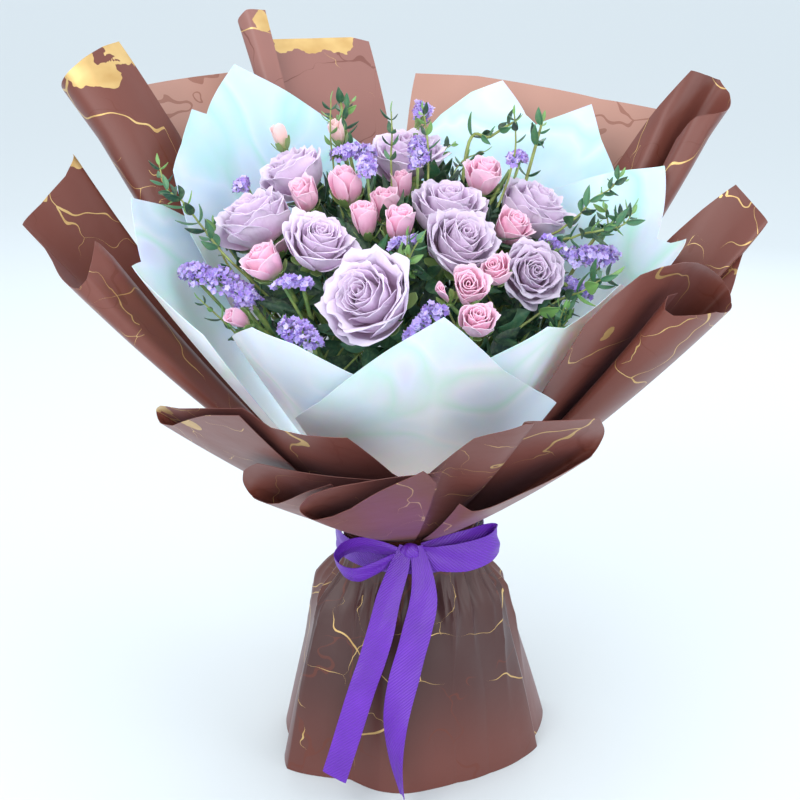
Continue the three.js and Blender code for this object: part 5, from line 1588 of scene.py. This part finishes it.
def ribbon_run(shape, run, creasing, seed):
    """A run of ribbon through its points, with its width turning on the way."""
    points, widths, ways = run
    path = curve_through(points, 12)
    along = unit(np.gradient(path, axis=0))
    part = np.linspace(0, 1, len(path))
    wide = np.stack([np.interp(part, [0, 0.5, 1], [way[axis] for way in ways]) for axis in range(3)], -1)
    wide = unit(wide - along * (wide * along).sum(axis=1, keepdims=True))
    normal = np.cross(along, wide)
    far = np.concatenate([[0], np.cumsum(np.linalg.norm(np.diff(path, axis=0), axis=1))])
    across = np.linspace(-1, 1, 11)[None, :]
    half = np.interp(part, np.linspace(0, 1, len(widths)), widths)[:, None] / 2
    wave = creasing * np.sin(5 * across + 0.12 * far[:, None] + seed)
    bow = 0.9 * (across ** 2 - 0.4) * np.sin(0.05 * far[:, None] + seed)
    grid = path[:, None] + wide[:, None] * (half * across)[..., None]
    grid = grid + normal[:, None] * (wave + bow)[..., None]
    uvs = np.stack(np.broadcast_arrays(across * RIBBON_WIDTH / 2 * MM, far[:, None] * MM), -1)
    shape.sheet(grid, RIBBON_THICKNESS, uvs=uvs)
    return sheet_area(grid), far[-1]


def build_ribbon():
    """The ribbon: a gathered band, a knot, two loops and two tails, as one sheet."""
    shape = Shape()
    turns = np.linspace(-math.pi, math.pi, 181)[:, None]
    rise = np.linspace(0, 1, 11)[None, :]
    crease = 0.35 * np.sin(9 * turns + 7 * rise) * np.sin(math.pi * rise)
    crease = crease + 0.3 * np.sin(math.pi * 3 * rise + 2 * np.sin(3 * turns))
    radius = BAND_RADIUS + crease
    height = SKIRT_TOP - BAND_HEIGHT * (1 - rise) + 0 * turns
    grid = np.stack([radius * np.sin(turns), -radius * np.cos(turns), height], -1)
    uvs = np.stack(np.broadcast_arrays(rise * RIBBON_WIDTH * MM, turns * BAND_RADIUS * MM), -1)
    shape.sheet(grid, BAND_THICKNESS, uvs=uvs)
    area = sheet_area(grid)
    length = 2 * math.pi * BAND_RADIUS
    for run, creasing, seed in RIBBON_RUNS:
        more_area, more_length = ribbon_run(shape, run, creasing, seed)
        area += more_area
        length += more_length
    lon = np.linspace(-math.pi, math.pi, 33)[:, None]
    lat = np.linspace(-1.45, 1.45, 15)[None, :]
    pinch = 1 + 0.10 * np.sin(6 * lon) * np.cos(lat)
    ball = [pinch * np.cos(lat) * np.cos(lon), pinch * np.cos(lat) * np.sin(lon), np.sin(lat) + 0 * lon]
    knot = np.stack(ball, -1) * KNOT_SIZE + KNOT_PLACE
    knot_uvs = np.stack(np.broadcast_arrays(lat * 0.008, lon * 0.008), -1)
    shape.sheet(knot, BAND_THICKNESS, uvs=knot_uvs)
    piece = shape.build("ribbon_bow", [RIBBON_LOOK])
    dress(piece, "ribbon", "ribbon")


build_ribbon()


# -------------------------------------------------------- stage, lights, camera

FLOOR_SIZE = 70
WORLD_LIGHT = 1.3
CAMERA_PLACE = (-0.007, -0.8665, 0.5617)
CAMERA_DROP = 18.5

bpy.ops.mesh.primitive_plane_add(size=FLOOR_SIZE, location=(0, 0, 0))
floor = bpy.context.object
floor.name = "floor"
floor_white, _, floor_shader = new_material("floor_white", 0.8)
floor_shader.inputs["Base Color"].default_value = (*rgb(212, 220, 223), 1)
floor.data.materials.append(floor_white)


def area_light(name, place_at, aim, size, power, colour=(1, 1, 1)):
    """A soft rectangular light at a place, aimed at a point."""
    data = bpy.data.lights.new(name, "AREA")
    data.shape = "RECTANGLE"
    data.size, data.size_y = size
    data.energy = power
    data.color = colour
    lamp = bpy.data.objects.new(name, data)
    lamp.location = place_at
    lamp.rotation_euler = (Vector(aim) - Vector(place_at)).to_track_quat("-Z", "Y").to_euler()
    bpy.context.scene.collection.objects.link(lamp)


area_light("key", (-1.1, -1.2, 1.7), (0, 0, 0.3), (1.2, 1.2), 16)
area_light("fill", (1.5, -1.0, 0.9), (0, 0, 0.3), (1.0, 1.4), 10, (0.95, 0.98, 1))
area_light("front", (-0.2, -1.9, 0.7), (0, 0, 0.25), (1.8, 1.4), 18)
area_light("top", (0.1, 0.3, 1.9), (0, 0, 0.3), (1.4, 1.4), 7)
area_light("rim", (0.4, 1.5, 1.0), (0, 0, 0.35), (1.6, 1.0), 5)

world = bpy.data.worlds.new("studio")
bpy.context.scene.world = world
world.use_nodes = True
background = world.node_tree.nodes["Background"]
background.inputs["Color"].default_value = (*rgb(230, 236, 242), 1)
background.inputs["Strength"].default_value = WORLD_LIGHT

camera_data = bpy.data.cameras.new("camera")
camera_data.sensor_width = 36
camera_data.lens = 58.5
camera = bpy.data.objects.new("camera", camera_data)
camera.location = CAMERA_PLACE
camera.rotation_euler = (math.radians(90 - CAMERA_DROP), 0, 0)
bpy.context.scene.collection.objects.link(camera)
bpy.context.scene.camera = camera
bpy.context.scene.view_settings.view_transform = "Standard"
